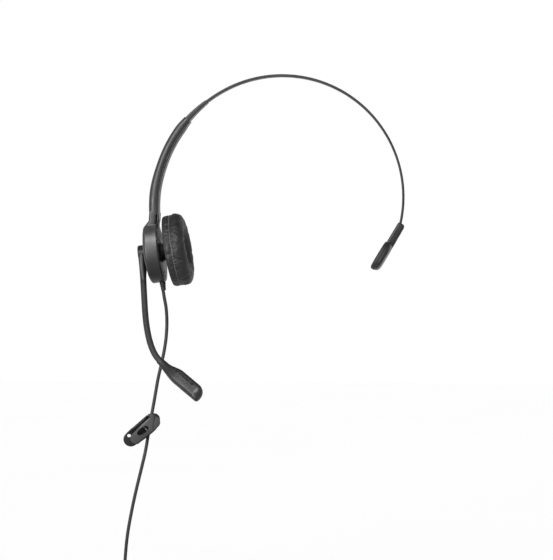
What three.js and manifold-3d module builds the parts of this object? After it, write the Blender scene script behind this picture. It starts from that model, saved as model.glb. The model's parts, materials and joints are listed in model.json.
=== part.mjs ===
// One-ear office headset: sprung headband with a temple bar, sliding arm, ear cup on a ball,
// swinging microphone boom, and a cord with a clothing clip and a modular handset plug.
// Millimetres. +Z is up, the wearer faces -Y and the ear cup is at -X.
// The origin is where the headband's underside touches the crown of the head.
import * as THREE from "three";
import { mergeVertices } from "three/addons/utils/BufferGeometryUtils.js";
import Module from "manifold-3d";

const wasm = await Module();
wasm.setup();

// ---------------------------------------------------------------- driving dimensions

const GAP = 0.3; // clearance between pieces that touch
const RUN = 0.3; // clearance round a shaft

// Headband: two arcs that share a tangent, one over the crown and one inside the arm.
const CROWN_RADIUS = 90;
const ARM_RADIUS = 97;
const TANGENT_ANGLE = 116; // where the arcs meet, counted from +X over the top
const STRIP_THICK = 1.8;
const STRIP_WIDTH = 8;
const STRIP_FOOT_ANGLE = 172; // the strip's end inside the arm
const TEMPLE_ANGLE = -15.5; // the strip's end at the temple bar

// Arm: a flat sleeve bent to ARM_RADIUS, in an outer and an inner half.
const SLEEVE_MOUTH_ANGLE = 138.5;
const SLEEVE_FOOT_ANGLE = 184;
const SLEEVE_THICK = 6.8;
const SLEEVE_WIDTH = 13;
const CHANNEL_THICK = 4.6;
const CHANNEL_WIDTH = 9.6;

// Pod: the round housing below the sleeve. Its axis leans, so its top stands outwards.
const POD_CENTRE = [-95, 0, -130.6];
const POD_TILT = 8;
const POD_RADIUS = 21.7;
const POD_HALF = 6; // half its thickness
const COVER_THICK = 1.5;
const POD_SCREW_CIRCLE = 16;

// Ear cup, on a ball in the pod's inner cover.
const BALL_OUT = 7.2; // from the pod's centre to the ball's, along the pod's axis
const BALL_RADIUS = 2.4;
const SOCKET_RADIUS = 3.75;
const CUP_TILT = 9.5;
const CUSHION_BACK = 3.8; // from the ball's centre
const CUSHION_THICK = 15;
const CUSHION_RADIUS = 26.3;
const CUSHION_HOLE = 10;
const SHELL_RADIUS = 21.2;

// Boom: a straight stalk in a plane beside the pod, then a bend towards the mouth.
const BOOM_ANGLE = 30; // forward of straight down
const BOOM_PLANE = -9.2; // from the pod's middle, outwards
const BOOM_RADIUS = 2.3;
const HUB_RADIUS = 7.4;
const HUB_THICK = 5;
const STALK_END = 44;
const FLEX_CORNER = 80.4; // where the tangents of the bend meet
const MIC_START = [91, 0]; // along the stalk, and inwards from the pod's middle
const MIC_LENGTH = 43;
const MIC_WIDTH = 9.4;
const MIC_DEPTH = 8;

// Temple bar
const BAR_TILT = 31; // the stem's lean from straight down, inwards
const BAR_LENGTH = 44;
const BAR_THICK = 2.6;
const PAD_THICK = 3.4;

// Cord, clip and plug
const CORD_RADIUS = 1.25;
const RELIEF_LENGTH = 6.5;
const COIL_CENTRE = [-101.6, 0, -383];
const COIL_RADIUS = 14; // middle of the turns
const COIL_ROWS = 3;
const COIL_COLUMNS = 6;
const CLIP_SLOPE = 41; // the clip's long axis below the horizontal
const CLIP_ROLL = 15; // turned about its long axis, so it faces down a little
const CLIP_HOLD = 8; // from the clip's pin line back to the cord
const CLIP_STUD = 5.5; // from the pin to the swivel stud, along the clip
const PLUG_TOP = -403;

// ---------------------------------------------------------------- helpers

const rad = THREE.MathUtils.degToRad;
const V = (x, y, z) => new THREE.Vector3(x, y, z);
const headset = new THREE.Group();

const finishes = {
  plastic: new THREE.MeshStandardMaterial({ color: 0x2b2b2c, roughness: 0.55, metalness: 0 }),
  strip: new THREE.MeshStandardMaterial({ color: 0x222224, roughness: 0.4, metalness: 0.3 }),
  rubber: new THREE.MeshStandardMaterial({ color: 0x1e1e1f, roughness: 0.85, metalness: 0 }),
  leather: new THREE.MeshStandardMaterial({ color: 0x242425, roughness: 0.7, metalness: 0 }),
  steel: new THREE.MeshStandardMaterial({ color: 0xb8b9bb, roughness: 0.3, metalness: 1 }),
  brass: new THREE.MeshStandardMaterial({ color: 0xc9a552, roughness: 0.25, metalness: 1 }),
  film: new THREE.MeshStandardMaterial({ color: 0xb9a888, roughness: 0.5, metalness: 0 }),
  clear: new THREE.MeshStandardMaterial({ color: 0xd8dcdf, roughness: 0.1, metalness: 0 }),
};

// A closed geometry as a manifold-3d solid, in the frame it is drawn in.
function solid(geometry) {
  const bare = geometry.index ? geometry.toNonIndexed() : geometry.clone();
  bare.deleteAttribute("normal");
  bare.deleteAttribute("uv");
  const merged = mergeVertices(bare, 1e-4);
  return new wasm.Manifold(
    new wasm.Mesh({
      numProp: 3,
      vertProperties: new Float32Array(merged.attributes.position.array),
      triVerts: new Uint32Array(merged.index.array),
    }),
  );
}

// A manifold-3d solid as a geometry.
function geometryOf(made) {
  const mesh = made.getMesh();
  const geometry = new THREE.BufferGeometry();
  geometry.setAttribute("position", new THREE.BufferAttribute(mesh.vertProperties, 3));
  geometry.setIndex(new THREE.BufferAttribute(mesh.triVerts, 1));
  return geometry;
}

const join = (first, ...rest) => geometryOf(rest.reduce((a, b) => a.add(solid(b)), solid(first)));
const cut = (first, ...rest) => geometryOf(rest.reduce((a, b) => a.subtract(solid(b)), solid(first)));

function add(parent, name, geometry, finish) {
  const mesh = new THREE.Mesh(geometry, finishes[finish]);
  mesh.name = name;
  parent.add(mesh);
  return mesh;
}

// A frame: a group with its own place and turn.
function frame(position, rotation) {
  const group = new THREE.Group();
  group.position.set(...position);
  group.rotation.set(...rotation);
  group.updateMatrixWorld(true);
  headset.add(group);
  return group;
}

// A frame given by its place and its three axes. Its caller adds it to its parent.
function basisFrame(position, x, y, z) {
  const group = new THREE.Group();
  group.position.copy(position);
  group.quaternion.setFromRotationMatrix(new THREE.Matrix4().makeBasis(x, y, z));
  return group;
}

// A profile of [along, radius] points turned about the x axis.
function turned(profile, segments = 20) {
  const points = profile.map(([along, radius]) => new THREE.Vector2(radius, along));
  return new THREE.LatheGeometry(points, segments).rotateZ(-Math.PI / 2);
}

// A closed profile that runs the wrong way round comes out inside out, so its order is set here.
function ring(profile, segments = 20) {
  const area = profile.reduce((sum, [a, r], i) => {
    const [b, s] = profile[(i + 1) % profile.length];
    return sum + a * s - b * r;
  }, 0);
  const ordered = area < 0 ? profile : [...profile].reverse();
  return turned([...ordered, ordered[0]], segments);
}

// A tube along x, from one end to the other.
function tube(inner, outer, from, to, segments = 20) {
  const section = [
    [from, inner],
    [from, outer],
    [to, outer],
    [to, inner],
  ];
  return ring(section, segments);
}

// A cylinder along x, from one end to the other, at a place across x.
function rod(from, to, radius, y = 0, z = 0, segments = 20) {
  return new THREE.CylinderGeometry(radius, radius, to - from, segments)
    .rotateZ(-Math.PI / 2)
    .translate((from + to) / 2, y, z);
}

function block(x, y, z, sx, sy, sz) {
  return new THREE.BoxGeometry(sx, sy, sz).translate(x, y, z);
}

// An outline in the XZ plane, drawn out along Y and centred on Y = middle.
function slab(shape, width, middle = 0, bevel = 0, curveSegments = 12) {
  return new THREE.ExtrudeGeometry(shape, {
    depth: width - 2 * bevel,
    bevelEnabled: bevel > 0,
    bevelThickness: bevel,
    bevelSize: bevel,
    bevelOffset: -bevel,
    bevelSegments: 2,
    curveSegments,
  })
    .translate(0, 0, bevel - width / 2)
    .rotateX(Math.PI / 2)
    .translate(0, middle, 0);
}

function polygon(points) {
  return new THREE.Shape(points.map(([x, z]) => new THREE.Vector2(x, z)));
}

function roundedBox(width, height, radius) {
  const w = width / 2;
  const h = height / 2;
  const shape = new THREE.Shape();
  shape.absarc(w - radius, h - radius, radius, 0, Math.PI / 2);
  shape.absarc(radius - w, h - radius, radius, Math.PI / 2, Math.PI);
  shape.absarc(radius - w, radius - h, radius, Math.PI, 1.5 * Math.PI);
  shape.absarc(w - radius, radius - h, radius, 1.5 * Math.PI, 2 * Math.PI);
  shape.closePath();
  return shape;
}

// A stretch of a flat ring in the XZ plane, angles counted from +X over the top.
function sector(centre, inner, outer, from, to) {
  const shape = new THREE.Shape();
  shape.absarc(centre[0], centre[1], outer, rad(from), rad(to), false);
  shape.absarc(centre[0], centre[1], inner, rad(to), rad(from), true);
  shape.closePath();
  return shape;
}

// A section swept along a curve.
function swept(curve, shape, steps) {
  return new THREE.ExtrudeGeometry(shape, { steps, extrudePath: curve, curveSegments: 2 });
}

function disc(radius, sides) {
  const corners = [];
  for (let i = 0; i < sides; i += 1) {
    const turn = (2 * Math.PI * i) / sides;
    corners.push([radius * Math.cos(turn), radius * Math.sin(turn)]);
  }
  return polygon(corners);
}

// ---------------------------------------------------------------- arcs of the headband

const crownCentre = [0, STRIP_THICK / 2 - CROWN_RADIUS];
const armCentre = [
  crownCentre[0] - (ARM_RADIUS - CROWN_RADIUS) * Math.cos(rad(TANGENT_ANGLE)),
  crownCentre[1] - (ARM_RADIUS - CROWN_RADIUS) * Math.sin(rad(TANGENT_ANGLE)),
];
const onArc = (centre, radius, angle) => [
  centre[0] + radius * Math.cos(rad(angle)),
  centre[1] + radius * Math.sin(rad(angle)),
];
const templePivot = onArc(crownCentre, CROWN_RADIUS, TEMPLE_ANGLE);

// ---------------------------------------------------------------- headband

function makeHeadband() {
  const half = STRIP_THICK / 2;
  const strip = new THREE.Shape();
  strip.absarc(...crownCentre, CROWN_RADIUS + half, rad(TEMPLE_ANGLE + 1), rad(TANGENT_ANGLE), false);
  strip.absarc(...armCentre, ARM_RADIUS + half, rad(TANGENT_ANGLE), rad(STRIP_FOOT_ANGLE), false);
  strip.absarc(...armCentre, ARM_RADIUS - half, rad(STRIP_FOOT_ANGLE), rad(TANGENT_ANGLE), true);
  strip.absarc(...crownCentre, CROWN_RADIUS - half, rad(TANGENT_ANGLE), rad(TEMPLE_ANGLE + 1), true);
  strip.closePath();

  // The eye rolled at the temple end, for the bar's pin.
  const [eyeX, eyeZ] = templePivot;
  const alongY = (radius, width) =>
    new THREE.CylinderGeometry(radius, radius, width, 20).translate(eyeX, 0, eyeZ);
  const rivetAt = onArc(armCentre, ARM_RADIUS, STRIP_FOOT_ANGLE - 3);
  const turnOut = rad(STRIP_FOOT_ANGLE - 3);
  const across = (from, to, radius) =>
    rod(from, to, radius, 0, 0, 12)
      .rotateY(-turnOut)
      .translate(rivetAt[0], 0, rivetAt[1]);
  const withEye = join(slab(strip, STRIP_WIDTH, 0, 0, 22), alongY(2.1, STRIP_WIDTH));
  const springStrip = cut(withEye, alongY(1.3, STRIP_WIDTH + 2), across(-3, 3, 0.9 + GAP));
  add(headset, "headband_spring", springStrip, "strip");

  const blockHalf = CHANNEL_THICK / 2 - GAP;
  const stopShape = sector(
    armCentre,
    ARM_RADIUS - blockHalf,
    ARM_RADIUS + blockHalf,
    STRIP_FOOT_ANGLE - 6,
    STRIP_FOOT_ANGLE + 1.5,
  );
  const stripRoom = sector(
    armCentre,
    ARM_RADIUS - half - GAP,
    ARM_RADIUS + half + GAP,
    STRIP_FOOT_ANGLE - 7,
    STRIP_FOOT_ANGLE + 0.3,
  );
  const stop = cut(
    slab(stopShape, CHANNEL_WIDTH - 2 * GAP, 0, 0, 3),
    slab(stripRoom, STRIP_WIDTH + 2 * GAP, 0, 0, 3),
    across(-3, 3, 0.9 + GAP),
  );
  add(headset, "slider_block", stop, "plastic");
  add(headset, "slider_rivet", across(-blockHalf, blockHalf, 0.9), "steel");
}

// ---------------------------------------------------------------- temple bar

// In its own frame: origin on the pin, -z down the stem, +x towards the head, y along the bar.
function makeTempleBar() {
  const lean = rad(BAR_TILT);
  const bar = basisFrame(
    V(templePivot[0], 0, templePivot[1]),
    V(-Math.cos(lean), 0, Math.sin(lean)),
    V(0, -1, 0),
    V(Math.sin(lean), 0, Math.cos(lean)),
  );
  headset.add(bar);
  const earInner = STRIP_WIDTH / 2 + GAP;
  const stemWidth = 12;
  const stemOutline = polygon([
    [-2.6, 3.4],
    [-1.6, 4.6],
    [2.2, 4.6],
    [2.8, 3.6],
    [2.8, -14],
    [1.4, -17],
    [-2.6, -17],
  ]);
  // A round-ended plate across the stem, from one height above the pin line to another.
  const crossPlate = (outline, bottom, thick, bevel, inset, middle) =>
    new THREE.ExtrudeGeometry(outline, {
      depth: thick - 2 * bevel,
      bevelThickness: bevel,
      bevelSize: inset,
      bevelOffset: -inset,
      bevelSegments: 1,
      curveSegments: 5,
    })
      .rotateX(Math.PI / 2)
      .rotateZ(Math.PI / 2)
      .translate(bottom + bevel, 0, middle);
  const core = crossPlate(roundedBox(BAR_LENGTH, 20, 9), -BAR_THICK, BAR_THICK, 0.5, 0.8, -24.5);
  const eyeRoom = block(0, 0, 1, 10, 2 * earInner, 9.2);
  const pinHole = new THREE.CylinderGeometry(1 + GAP, 1 + GAP, 20, 16);
  const stem = slab(stemOutline, stemWidth, 0, 0.6);
  add(bar, "temple_bar_body", cut(join(stem, core), eyeRoom, pinHole), "plastic");
  add(bar, "temple_pin", new THREE.CylinderGeometry(1, 1, stemWidth - 0.4, 16), "steel");

  const pad = crossPlate(roundedBox(BAR_LENGTH - 1, 20.5, 9), GAP, PAD_THICK, 1, 1.6, -24.8);
  const stemRoom = polygon([
    [0, 4],
    [3.1, 4],
    [3.1, -14],
    [1.7, -17.3],
    [0, -17.3],
  ]);
  add(bar, "temple_pad", cut(pad, slab(stemRoom, stemWidth + 2 * GAP)), "rubber");
}

// ---------------------------------------------------------------- arm and pod

const podFrame = () => frame(POD_CENTRE, [0, rad(-POD_TILT), 0]);
const podMatrix = podFrame().matrixWorld;
const relief = { x: 3.3, top: -19, root: 2.5, tip: 1.7 };

function makeArm() {
  const halfSleeve = SLEEVE_THICK / 2;
  const halfChannel = CHANNEL_THICK / 2;
  const sleeveHalf = (inner, outer) => {
    const shape = sector(armCentre, inner, outer, SLEEVE_MOUTH_ANGLE, SLEEVE_FOOT_ANGLE);
    return slab(shape, SLEEVE_WIDTH, 0, 0, 14);
  };
  const channel = slab(
    sector(
      armCentre,
      ARM_RADIUS - halfChannel,
      ARM_RADIUS + halfChannel,
      SLEEVE_MOUTH_ANGLE - 2,
      SLEEVE_FOOT_ANGLE - 1.2,
    ),
    CHANNEL_WIDTH,
    0,
    0,
    14,
  );
  // The neck fills the step between the sleeve and the pod, in an outer and an inner half.
  const split = GAP / 2;
  const outerNeck = polygon([
    [-93.9 - split, -101],
    [-97.4, -101],
    [-97.6, -106.8],
    [-103.0, -112.4],
    [-102.8, -118],
    [-99, -116],
    [-93.95 - split, -110.6],
  ]);
  const innerNeck = polygon([
    [-93.9 + split, -101],
    [-90.5, -101],
    [-90.8, -105],
    [-91.9, -109],
    [-91.7, -112],
    [-93.0, -112],
    [-93.55 + split, -109.4],
  ]);

  const wall = 1.5;
  const coverIn = POD_HALF - COVER_THICK;
  const rim = POD_RADIUS;
  const dish = turned(
    [
      [-POD_HALF, 3 + RUN],
      [-POD_HALF, 15],
      [-POD_HALF + 0.6, 18],
      [-POD_HALF + 2.2, rim - 0.9],
      [-POD_HALF + 4, rim],
      [coverIn - GAP, rim],
      [coverIn - GAP, rim - wall],
      [-POD_HALF + 3.6, rim - wall],
      [-POD_HALF + wall, 17],
      [-POD_HALF + wall, 3 + RUN],
      [-POD_HALF, 3 + RUN],
    ],
    24,
  );
  const bossAngles = [35, 145, 270];
  const bossAt = (angle) => onArc([0, 0], POD_SCREW_CIRCLE, angle);
  let pod = solid(dish);
  for (const angle of bossAngles) {
    pod = pod.add(solid(rod(-POD_HALF + 1, coverIn - GAP, 2.3, ...bossAt(angle), 8)));
  }
  for (const angle of bossAngles) {
    pod = pod.subtract(solid(rod(-1, coverIn + 1, 0.8 + GAP, ...bossAt(angle), 8)));
  }
  const reliefRoom = new THREE.CylinderGeometry(relief.root + GAP, relief.root + GAP, 8, 14)
    .rotateX(Math.PI / 2)
    .translate(relief.x, 0, relief.top - 1.5);
  const outer = geometryOf(pod.subtract(solid(reliefRoom))).applyMatrix4(podMatrix);
  const outerHalf = cut(sleeveHalf(ARM_RADIUS + split, ARM_RADIUS + halfSleeve), channel);
  add(headset, "arm_outer_shell", join(outerHalf, slab(outerNeck, SLEEVE_WIDTH), outer), "plastic");

  // Inner cover: a plate with a collar for the ball's liner.
  const ball = BALL_OUT;
  const mouth = (x) => Math.sqrt(SOCKET_RADIUS ** 2 - (x - ball) ** 2);
  const socket = [];
  for (const x of [ball + 1.6, ball + 0.8, ball, ball - 0.9, ball - 1.8, coverIn]) {
    socket.push([x, mouth(x)]);
  }
  const plate = turned(
    [
      [coverIn, mouth(coverIn)],
      [coverIn, rim],
      [POD_HALF - 0.7, rim],
      [POD_HALF, rim - 0.8],
      [POD_HALF, 6],
      [ball + 1.6, 5.4],
      ...socket,
    ],
    24,
  );
  let cover = solid(plate);
  for (const angle of bossAngles) {
    cover = cover.subtract(solid(rod(0, 9, 0.8 + GAP, ...bossAt(angle), 8)));
    cover = cover.subtract(solid(rod(POD_HALF - 0.8, 9, 2.2, ...bossAt(angle), 12)));
  }
  const inner = geometryOf(cover.subtract(solid(reliefRoom))).applyMatrix4(podMatrix);
  const innerHalf = cut(sleeveHalf(ARM_RADIUS - halfSleeve, ARM_RADIUS - split), channel);
  add(headset, "arm_inner_shell", join(innerHalf, slab(innerNeck, SLEEVE_WIDTH), inner), "plastic");

  const podGroup = podFrame();
  bossAngles.forEach((angle, i) => {
    const screw = join(
      rod(0.5, POD_HALF - 0.6, 0.8, ...bossAt(angle), 10),
      rod(POD_HALF - 0.5, POD_HALF - 0.05, 1.9, ...bossAt(angle), 14),
      rod(POD_HALF - 0.8, POD_HALF - 0.4, 0.8, ...bossAt(angle), 10),
    );
    add(podGroup, "pod_screw_" + (i + 1), screw, "steel");
  });

  const leaf = sector(armCentre, ARM_RADIUS + 1.3, ARM_RADIUS + 1.8, 142, 152);
  add(headset, "detent_leaf", slab(leaf, 6, 0, 0, 6), "steel");

  const bush = new THREE.LatheGeometry(
    [
      [0, relief.top - RELIEF_LENGTH - 2.6],
      [relief.tip, relief.top - RELIEF_LENGTH - 2.6],
      [relief.root, relief.top - 2.8],
      [relief.root, relief.top],
      [0, relief.top],
    ].map(([r, z]) => new THREE.Vector2(r, z)),
    14,
  )
    .rotateX(Math.PI / 2)
    .translate(relief.x, 0, 0);
  add(podGroup, "strain_relief", bush, "rubber");
}

// ---------------------------------------------------------------- ear cup

const ballCentre = V(BALL_OUT, 0, 0).applyMatrix4(podMatrix);

function makeEarCup() {
  const cup = frame(ballCentre.toArray(), [0, rad(-CUP_TILT), 0]);

  // Split liner between the ball and the pod's socket.
  const shellPoints = (radius, from, to, count) => {
    const points = [];
    for (let i = 0; i <= count; i += 1) {
      const angle = rad(from + ((to - from) * i) / count);
      points.push([-radius * Math.cos(angle), radius * Math.sin(angle)]);
    }
    return points;
  };
  const outer = shellPoints(SOCKET_RADIUS - 0.25, 55, 140, 4);
  const inner = shellPoints(BALL_RADIUS + 0.25, 140, 55, 4);
  add(cup, "ball_liner", ring([...outer, ...inner], 14), "plastic");

  const ballPoints = [];
  for (let i = 0; i <= 7; i += 1) {
    const angle = rad((155 * i) / 7);
    ballPoints.push([-BALL_RADIUS * Math.cos(angle), BALL_RADIUS * Math.sin(angle)]);
  }
  const back = CUSHION_BACK;
  const studFoot = [
    [back - 0.6, 1.1],
    [back - 0.6, 3.4],
    [back + 0.6, 3.4],
    [back + 0.6, 0],
  ];
  add(cup, "ball_stud", turned([...ballPoints, ...studFoot]), "steel");

  const shell = ring(
    [
      [back - 0.3, 3.4 + GAP],
      [back - 0.3, 15],
      [back + 0.6, 19],
      [back + 2.4, SHELL_RADIUS],
      [back + 8.6, SHELL_RADIUS],
      [back + 8.6, SHELL_RADIUS - 1.4],
      [back + 2.8, SHELL_RADIUS - 1.4],
      [back + 1.8, 18],
      [back + 1.2, 14.5],
      [back + 1.2, 3.4 + GAP],
    ],
    24,
  );
  add(cup, "speaker_back_shell", shell, "plastic");

  const driverBack = back + 2.4;
  add(cup, "speaker_magnet", tube(1, 6.4, driverBack, driverBack + 2.2, 24), "steel");
  const basket = ring(
    [
      [driverBack + 0.8, 6.4 + GAP],
      [driverBack + 0.8, 12],
      [driverBack + 3, 16.5],
      [driverBack + 4.6, 18.8],
      [driverBack + 5.6, 18.8],
      [driverBack + 5.6, 17],
      [driverBack + 4, 15.4],
      [driverBack + 1.9, 11.4],
      [driverBack + 1.9, 6.4 + GAP],
    ],
    20,
  );
  add(cup, "speaker_basket", basket, "plastic");
  const cone = turned(
    [
      [driverBack + 3.9, 0],
      [driverBack + 3.6, 4],
      [driverBack + 2.9, 6.5],
      [driverBack + 4.3, 10.5],
      [driverBack + 5.1, 15.6],
      [driverBack + 5.5, 15.6],
      [driverBack + 4.7, 10.5],
      [driverBack + 3.3, 6.7],
      [driverBack + 4.0, 4.2],
      [driverBack + 4.3, 0],
    ],
    24,
  );
  add(cup, "speaker_diaphragm", cone, "film");

  // Baffle: the slotted grille that closes the cup.
  const grilleAt = back + 9;
  let grille = solid(rod(grilleAt, grilleAt + 1.2, SHELL_RADIUS, 0, 0, 32));
  for (let i = -2; i <= 2; i += 1) {
    const slot = block(grilleAt, 0, i * 3.4, 4, 15 - 2.4 * Math.abs(i), 1.4);
    grille = grille.subtract(solid(slot));
  }
  add(cup, "speaker_grille", geometryOf(grille), "plastic");

  const skirt = SHELL_RADIUS + GAP + 0.1;
  const face = back + CUSHION_THICK;
  const cushion = ring(
    [
      [back, skirt],
      [back, CUSHION_RADIUS - 2.2],
      [back + 2, CUSHION_RADIUS - 0.4],
      [back + 6, CUSHION_RADIUS],
      [back + 10.5, CUSHION_RADIUS - 0.2],
      [face - 1.6, CUSHION_RADIUS - 2.8],
      [face, CUSHION_RADIUS - 6.2],
      [face, CUSHION_HOLE + 4],
      [face - 1.4, CUSHION_HOLE + 1.2],
      [face - 3, CUSHION_HOLE],
      [grilleAt + 1.2 + GAP, CUSHION_HOLE],
      [grilleAt + 1.2 + GAP, skirt],
    ],
    24,
  );
  add(cup, "ear_cushion", cushion, "leather");
}

// ---------------------------------------------------------------- boom and microphone

// The stalk's plane in the pod's frame: first number along the stalk, second inwards.
function boomPoint(along, inwards, aside = 0) {
  const turn = rad(BOOM_ANGLE);
  return V(
    inwards,
    -along * Math.sin(turn) + aside * Math.cos(turn),
    -along * Math.cos(turn) - aside * Math.sin(turn),
  );
}

const stalkLine = new THREE.LineCurve3(boomPoint(6.4, BOOM_PLANE), boomPoint(STALK_END, BOOM_PLANE));
const bend = new THREE.QuadraticBezierCurve3(
  boomPoint(STALK_END, BOOM_PLANE),
  boomPoint(FLEX_CORNER, BOOM_PLANE),
  boomPoint(...MIC_START),
);

// The stretch of the bend between two of its parameters.
function bendPart(from, to) {
  const points = [];
  for (let i = 0; i <= 12; i += 1) {
    points.push(bend.getPoint(from + ((to - from) * i) / 12));
  }
  return new THREE.CatmullRomCurve3(points);
}

function makeBoom() {
  const pod = podFrame();
  const hubTop = -POD_HALF - GAP;
  const hubBody = turned(
    [
      [hubTop - HUB_THICK, 0],
      [hubTop - HUB_THICK, HUB_RADIUS - 0.8],
      [hubTop - HUB_THICK + 0.8, HUB_RADIUS],
      [hubTop, HUB_RADIUS],
      [hubTop, 3],
      [-POD_HALF + 2.6, 3],
      [-POD_HALF + 2.6, 0],
    ],
    20,
  );
  const capRoom = rod(hubTop - HUB_THICK - 1, hubTop - HUB_THICK + 1, 5 + GAP, 0, 0, 24);
  const stalk = swept(stalkLine, disc(BOOM_RADIUS, 10), 1);
  const screwBore = rod(-POD_HALF - 1.5, 0, 0.8 + GAP, 0, 0, 10);
  add(pod, "boom_hub", cut(join(hubBody, stalk), capRoom, screwBore), "plastic");
  add(pod, "boom_hub_cap", rod(hubTop - HUB_THICK - 0.1, hubTop - HUB_THICK + 0.7, 5, 0, 0, 24), "plastic");
  const washerAt = -POD_HALF + 2.9;
  add(pod, "boom_spring_washer", tube(0.8 + GAP, 5.6, washerAt, washerAt + 0.5), "steel");
  const screw = join(
    rod(-POD_HALF - 1.2, washerAt + 1, 0.8, 0, 0, 10),
    rod(washerAt + 0.5 + GAP, washerAt + 1.6, 2.1, 0, 0, 16),
  );
  add(pod, "boom_screw", screw, "steel");

  add(pod, "boom_flex", swept(bendPart(0.012, 0.8), disc(BOOM_RADIUS, 10), 9), "rubber");

  // Microphone: a tapered neck and a flat round-cornered housing, in a front and a back half.
  const end = bend.getPoint(1);
  const along = bend.getTangent(1);
  const aside = boomPoint(0, 0, 1).normalize();
  const out = new THREE.Vector3().crossVectors(along, aside).normalize();
  const mic = basisFrame(end, along, aside, out);
  pod.add(mic);
  const stub = swept(bendPart(0.815, 0.98), disc(BOOM_RADIUS, 10), 4);
  add(pod, "boom_tip_stub", stub, "plastic");
  makeMicrophone(mic);
}

// In the microphone's frame: +x to the tip, y across the housing's narrow depth, z across its width.
function makeMicrophone(mic) {
  const h = MIC_WIDTH / 2;
  const outline = new THREE.Shape();
  outline.moveTo(0, -BOOM_RADIUS);
  outline.quadraticCurveTo(8, -h + 0.6, 13, -h);
  outline.lineTo(MIC_LENGTH - 3, -h + 0.3);
  outline.quadraticCurveTo(MIC_LENGTH - 0.2, -h + 0.6, MIC_LENGTH, -1);
  outline.quadraticCurveTo(MIC_LENGTH - 0.2, h - 1.6, MIC_LENGTH - 3.4, h - 0.3);
  outline.lineTo(13, h);
  outline.quadraticCurveTo(8, h - 0.6, 0, BOOM_RADIUS);
  outline.closePath();
  const whole = slab(outline, MIC_DEPTH, 0, 1.6, 5);
  const room = join(
    slab(roundedBox(14, 6.4, 3), MIC_DEPTH - 2.6, 0, 0, 6).translate(MIC_LENGTH - 10.5, 0, 0),
    rod(6, MIC_LENGTH - 12, 1, 0, 0, 10),
  );
  const frontSide = block(MIC_LENGTH / 2, GAP / 2 - 10, 0, MIC_LENGTH + 20, 20, 30);
  const backSide = block(MIC_LENGTH / 2, 10 - GAP / 2, 0, MIC_LENGTH + 20, 20, 30);
  const grooves = [-2.1, 0, 2.1].map((z) => block(MIC_LENGTH - 16, -MIC_DEPTH / 2, z, 19, 1, 0.7));
  const ports = [-2.1, 2.1].map((z) => block(MIC_LENGTH - 9, -MIC_DEPTH / 2, z, 3, 6, 0.7));
  add(mic, "mic_front_shell", cut(whole, room, backSide, ...grooves, ...ports), "plastic");
  add(mic, "mic_back_shell", cut(whole, room, frontSide), "plastic");
  const capsuleAt = MIC_LENGTH - 9;
  const capsule = new THREE.CylinderGeometry(2.2, 2.2, 1.8, 20).translate(capsuleAt, 0, 0);
  add(mic, "mic_capsule", capsule, "steel");
  const boot = tube(2.4, 2.9, -1.1, 1.1).rotateZ(Math.PI / 2).translate(capsuleAt, 0, 0);
  add(mic, "mic_boot", boot, "rubber");
}

// ---------------------------------------------------------------- cord

// The hanging stretch, from the strain relief to the coil.
const hangingRoute = [
  [-88.1, 0, -158.8],
  [-87.4, 0, -163],
  [-86.0, 0, -171],
  [-85.4, 0, -181],
  [-85.9, 0, -192],
  [-87.3, 0, -202],
  [-89.6, 0, -213],
  [-92.0, 0, -223.5],
  [-94.2, 0, -236],
  [-96.0, 0, -246],
  [-97.8, 0, -255.5],
  [-99.5, 0, -266],
  [-101.6, 0.2, -278],
  [-105.0, 0.8, -292],
  [-109.0, 1.8, -308],
  [-112.6, 3.2, -324],
  [-115.6, 4.6, -340],
  [-117.4, 5.7, -356],
  [-118.05, 6.2, -368],
  [-118.1, 6.25, -373.6],
];

function makeCord() {
  const route = new THREE.CatmullRomCurve3(hangingRoute.map((p) => V(...p)), false, "centripetal");
  add(headset, "headset_cord", swept(route, disc(CORD_RADIUS, 8), 44), "rubber");

  const deep = COIL_COLUMNS * CORD_RADIUS;
  const high = COIL_ROWS * CORD_RADIUS;
  const coil = tube(COIL_RADIUS - high, COIL_RADIUS + high, -deep, deep, 36)
    .rotateZ(Math.PI / 2)
    .translate(...COIL_CENTRE);
  add(headset, "cord_coil", coil, "rubber");

  const tieAt = COIL_CENTRE[0] + COIL_RADIUS;
  const hole = roundedBox(2 * high + 3 * GAP, 2 * deep + 2 * GAP, 1);
  const band = roundedBox(2 * high + 3 * GAP + 1.6, 2 * deep + 2 * GAP + 1.6, 1.6);
  band.holes.push(hole);
  const tie = new THREE.ExtrudeGeometry(band, { depth: 4, bevelEnabled: false, curveSegments: 2 })
    .translate(tieAt, 0, COIL_CENTRE[2] - 2);
  add(headset, "cord_tie", tie, "rubber");

  const last = COIL_CENTRE[0] - COIL_RADIUS - (COIL_ROWS - 1) * CORD_RADIUS;
  const front = -(COIL_COLUMNS - 1) * CORD_RADIUS;
  const tailTop = V(last, front, COIL_CENTRE[2] - 9.6);
  const tail = new THREE.LineCurve3(tailTop, V(last, front, PLUG_TOP + GAP));
  add(headset, "cord_tail", swept(tail, disc(CORD_RADIUS, 8), 3), "rubber");
  makePlug(frame([last, front, PLUG_TOP], [0, 0, 0]));
}

// ---------------------------------------------------------------- plug

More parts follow.
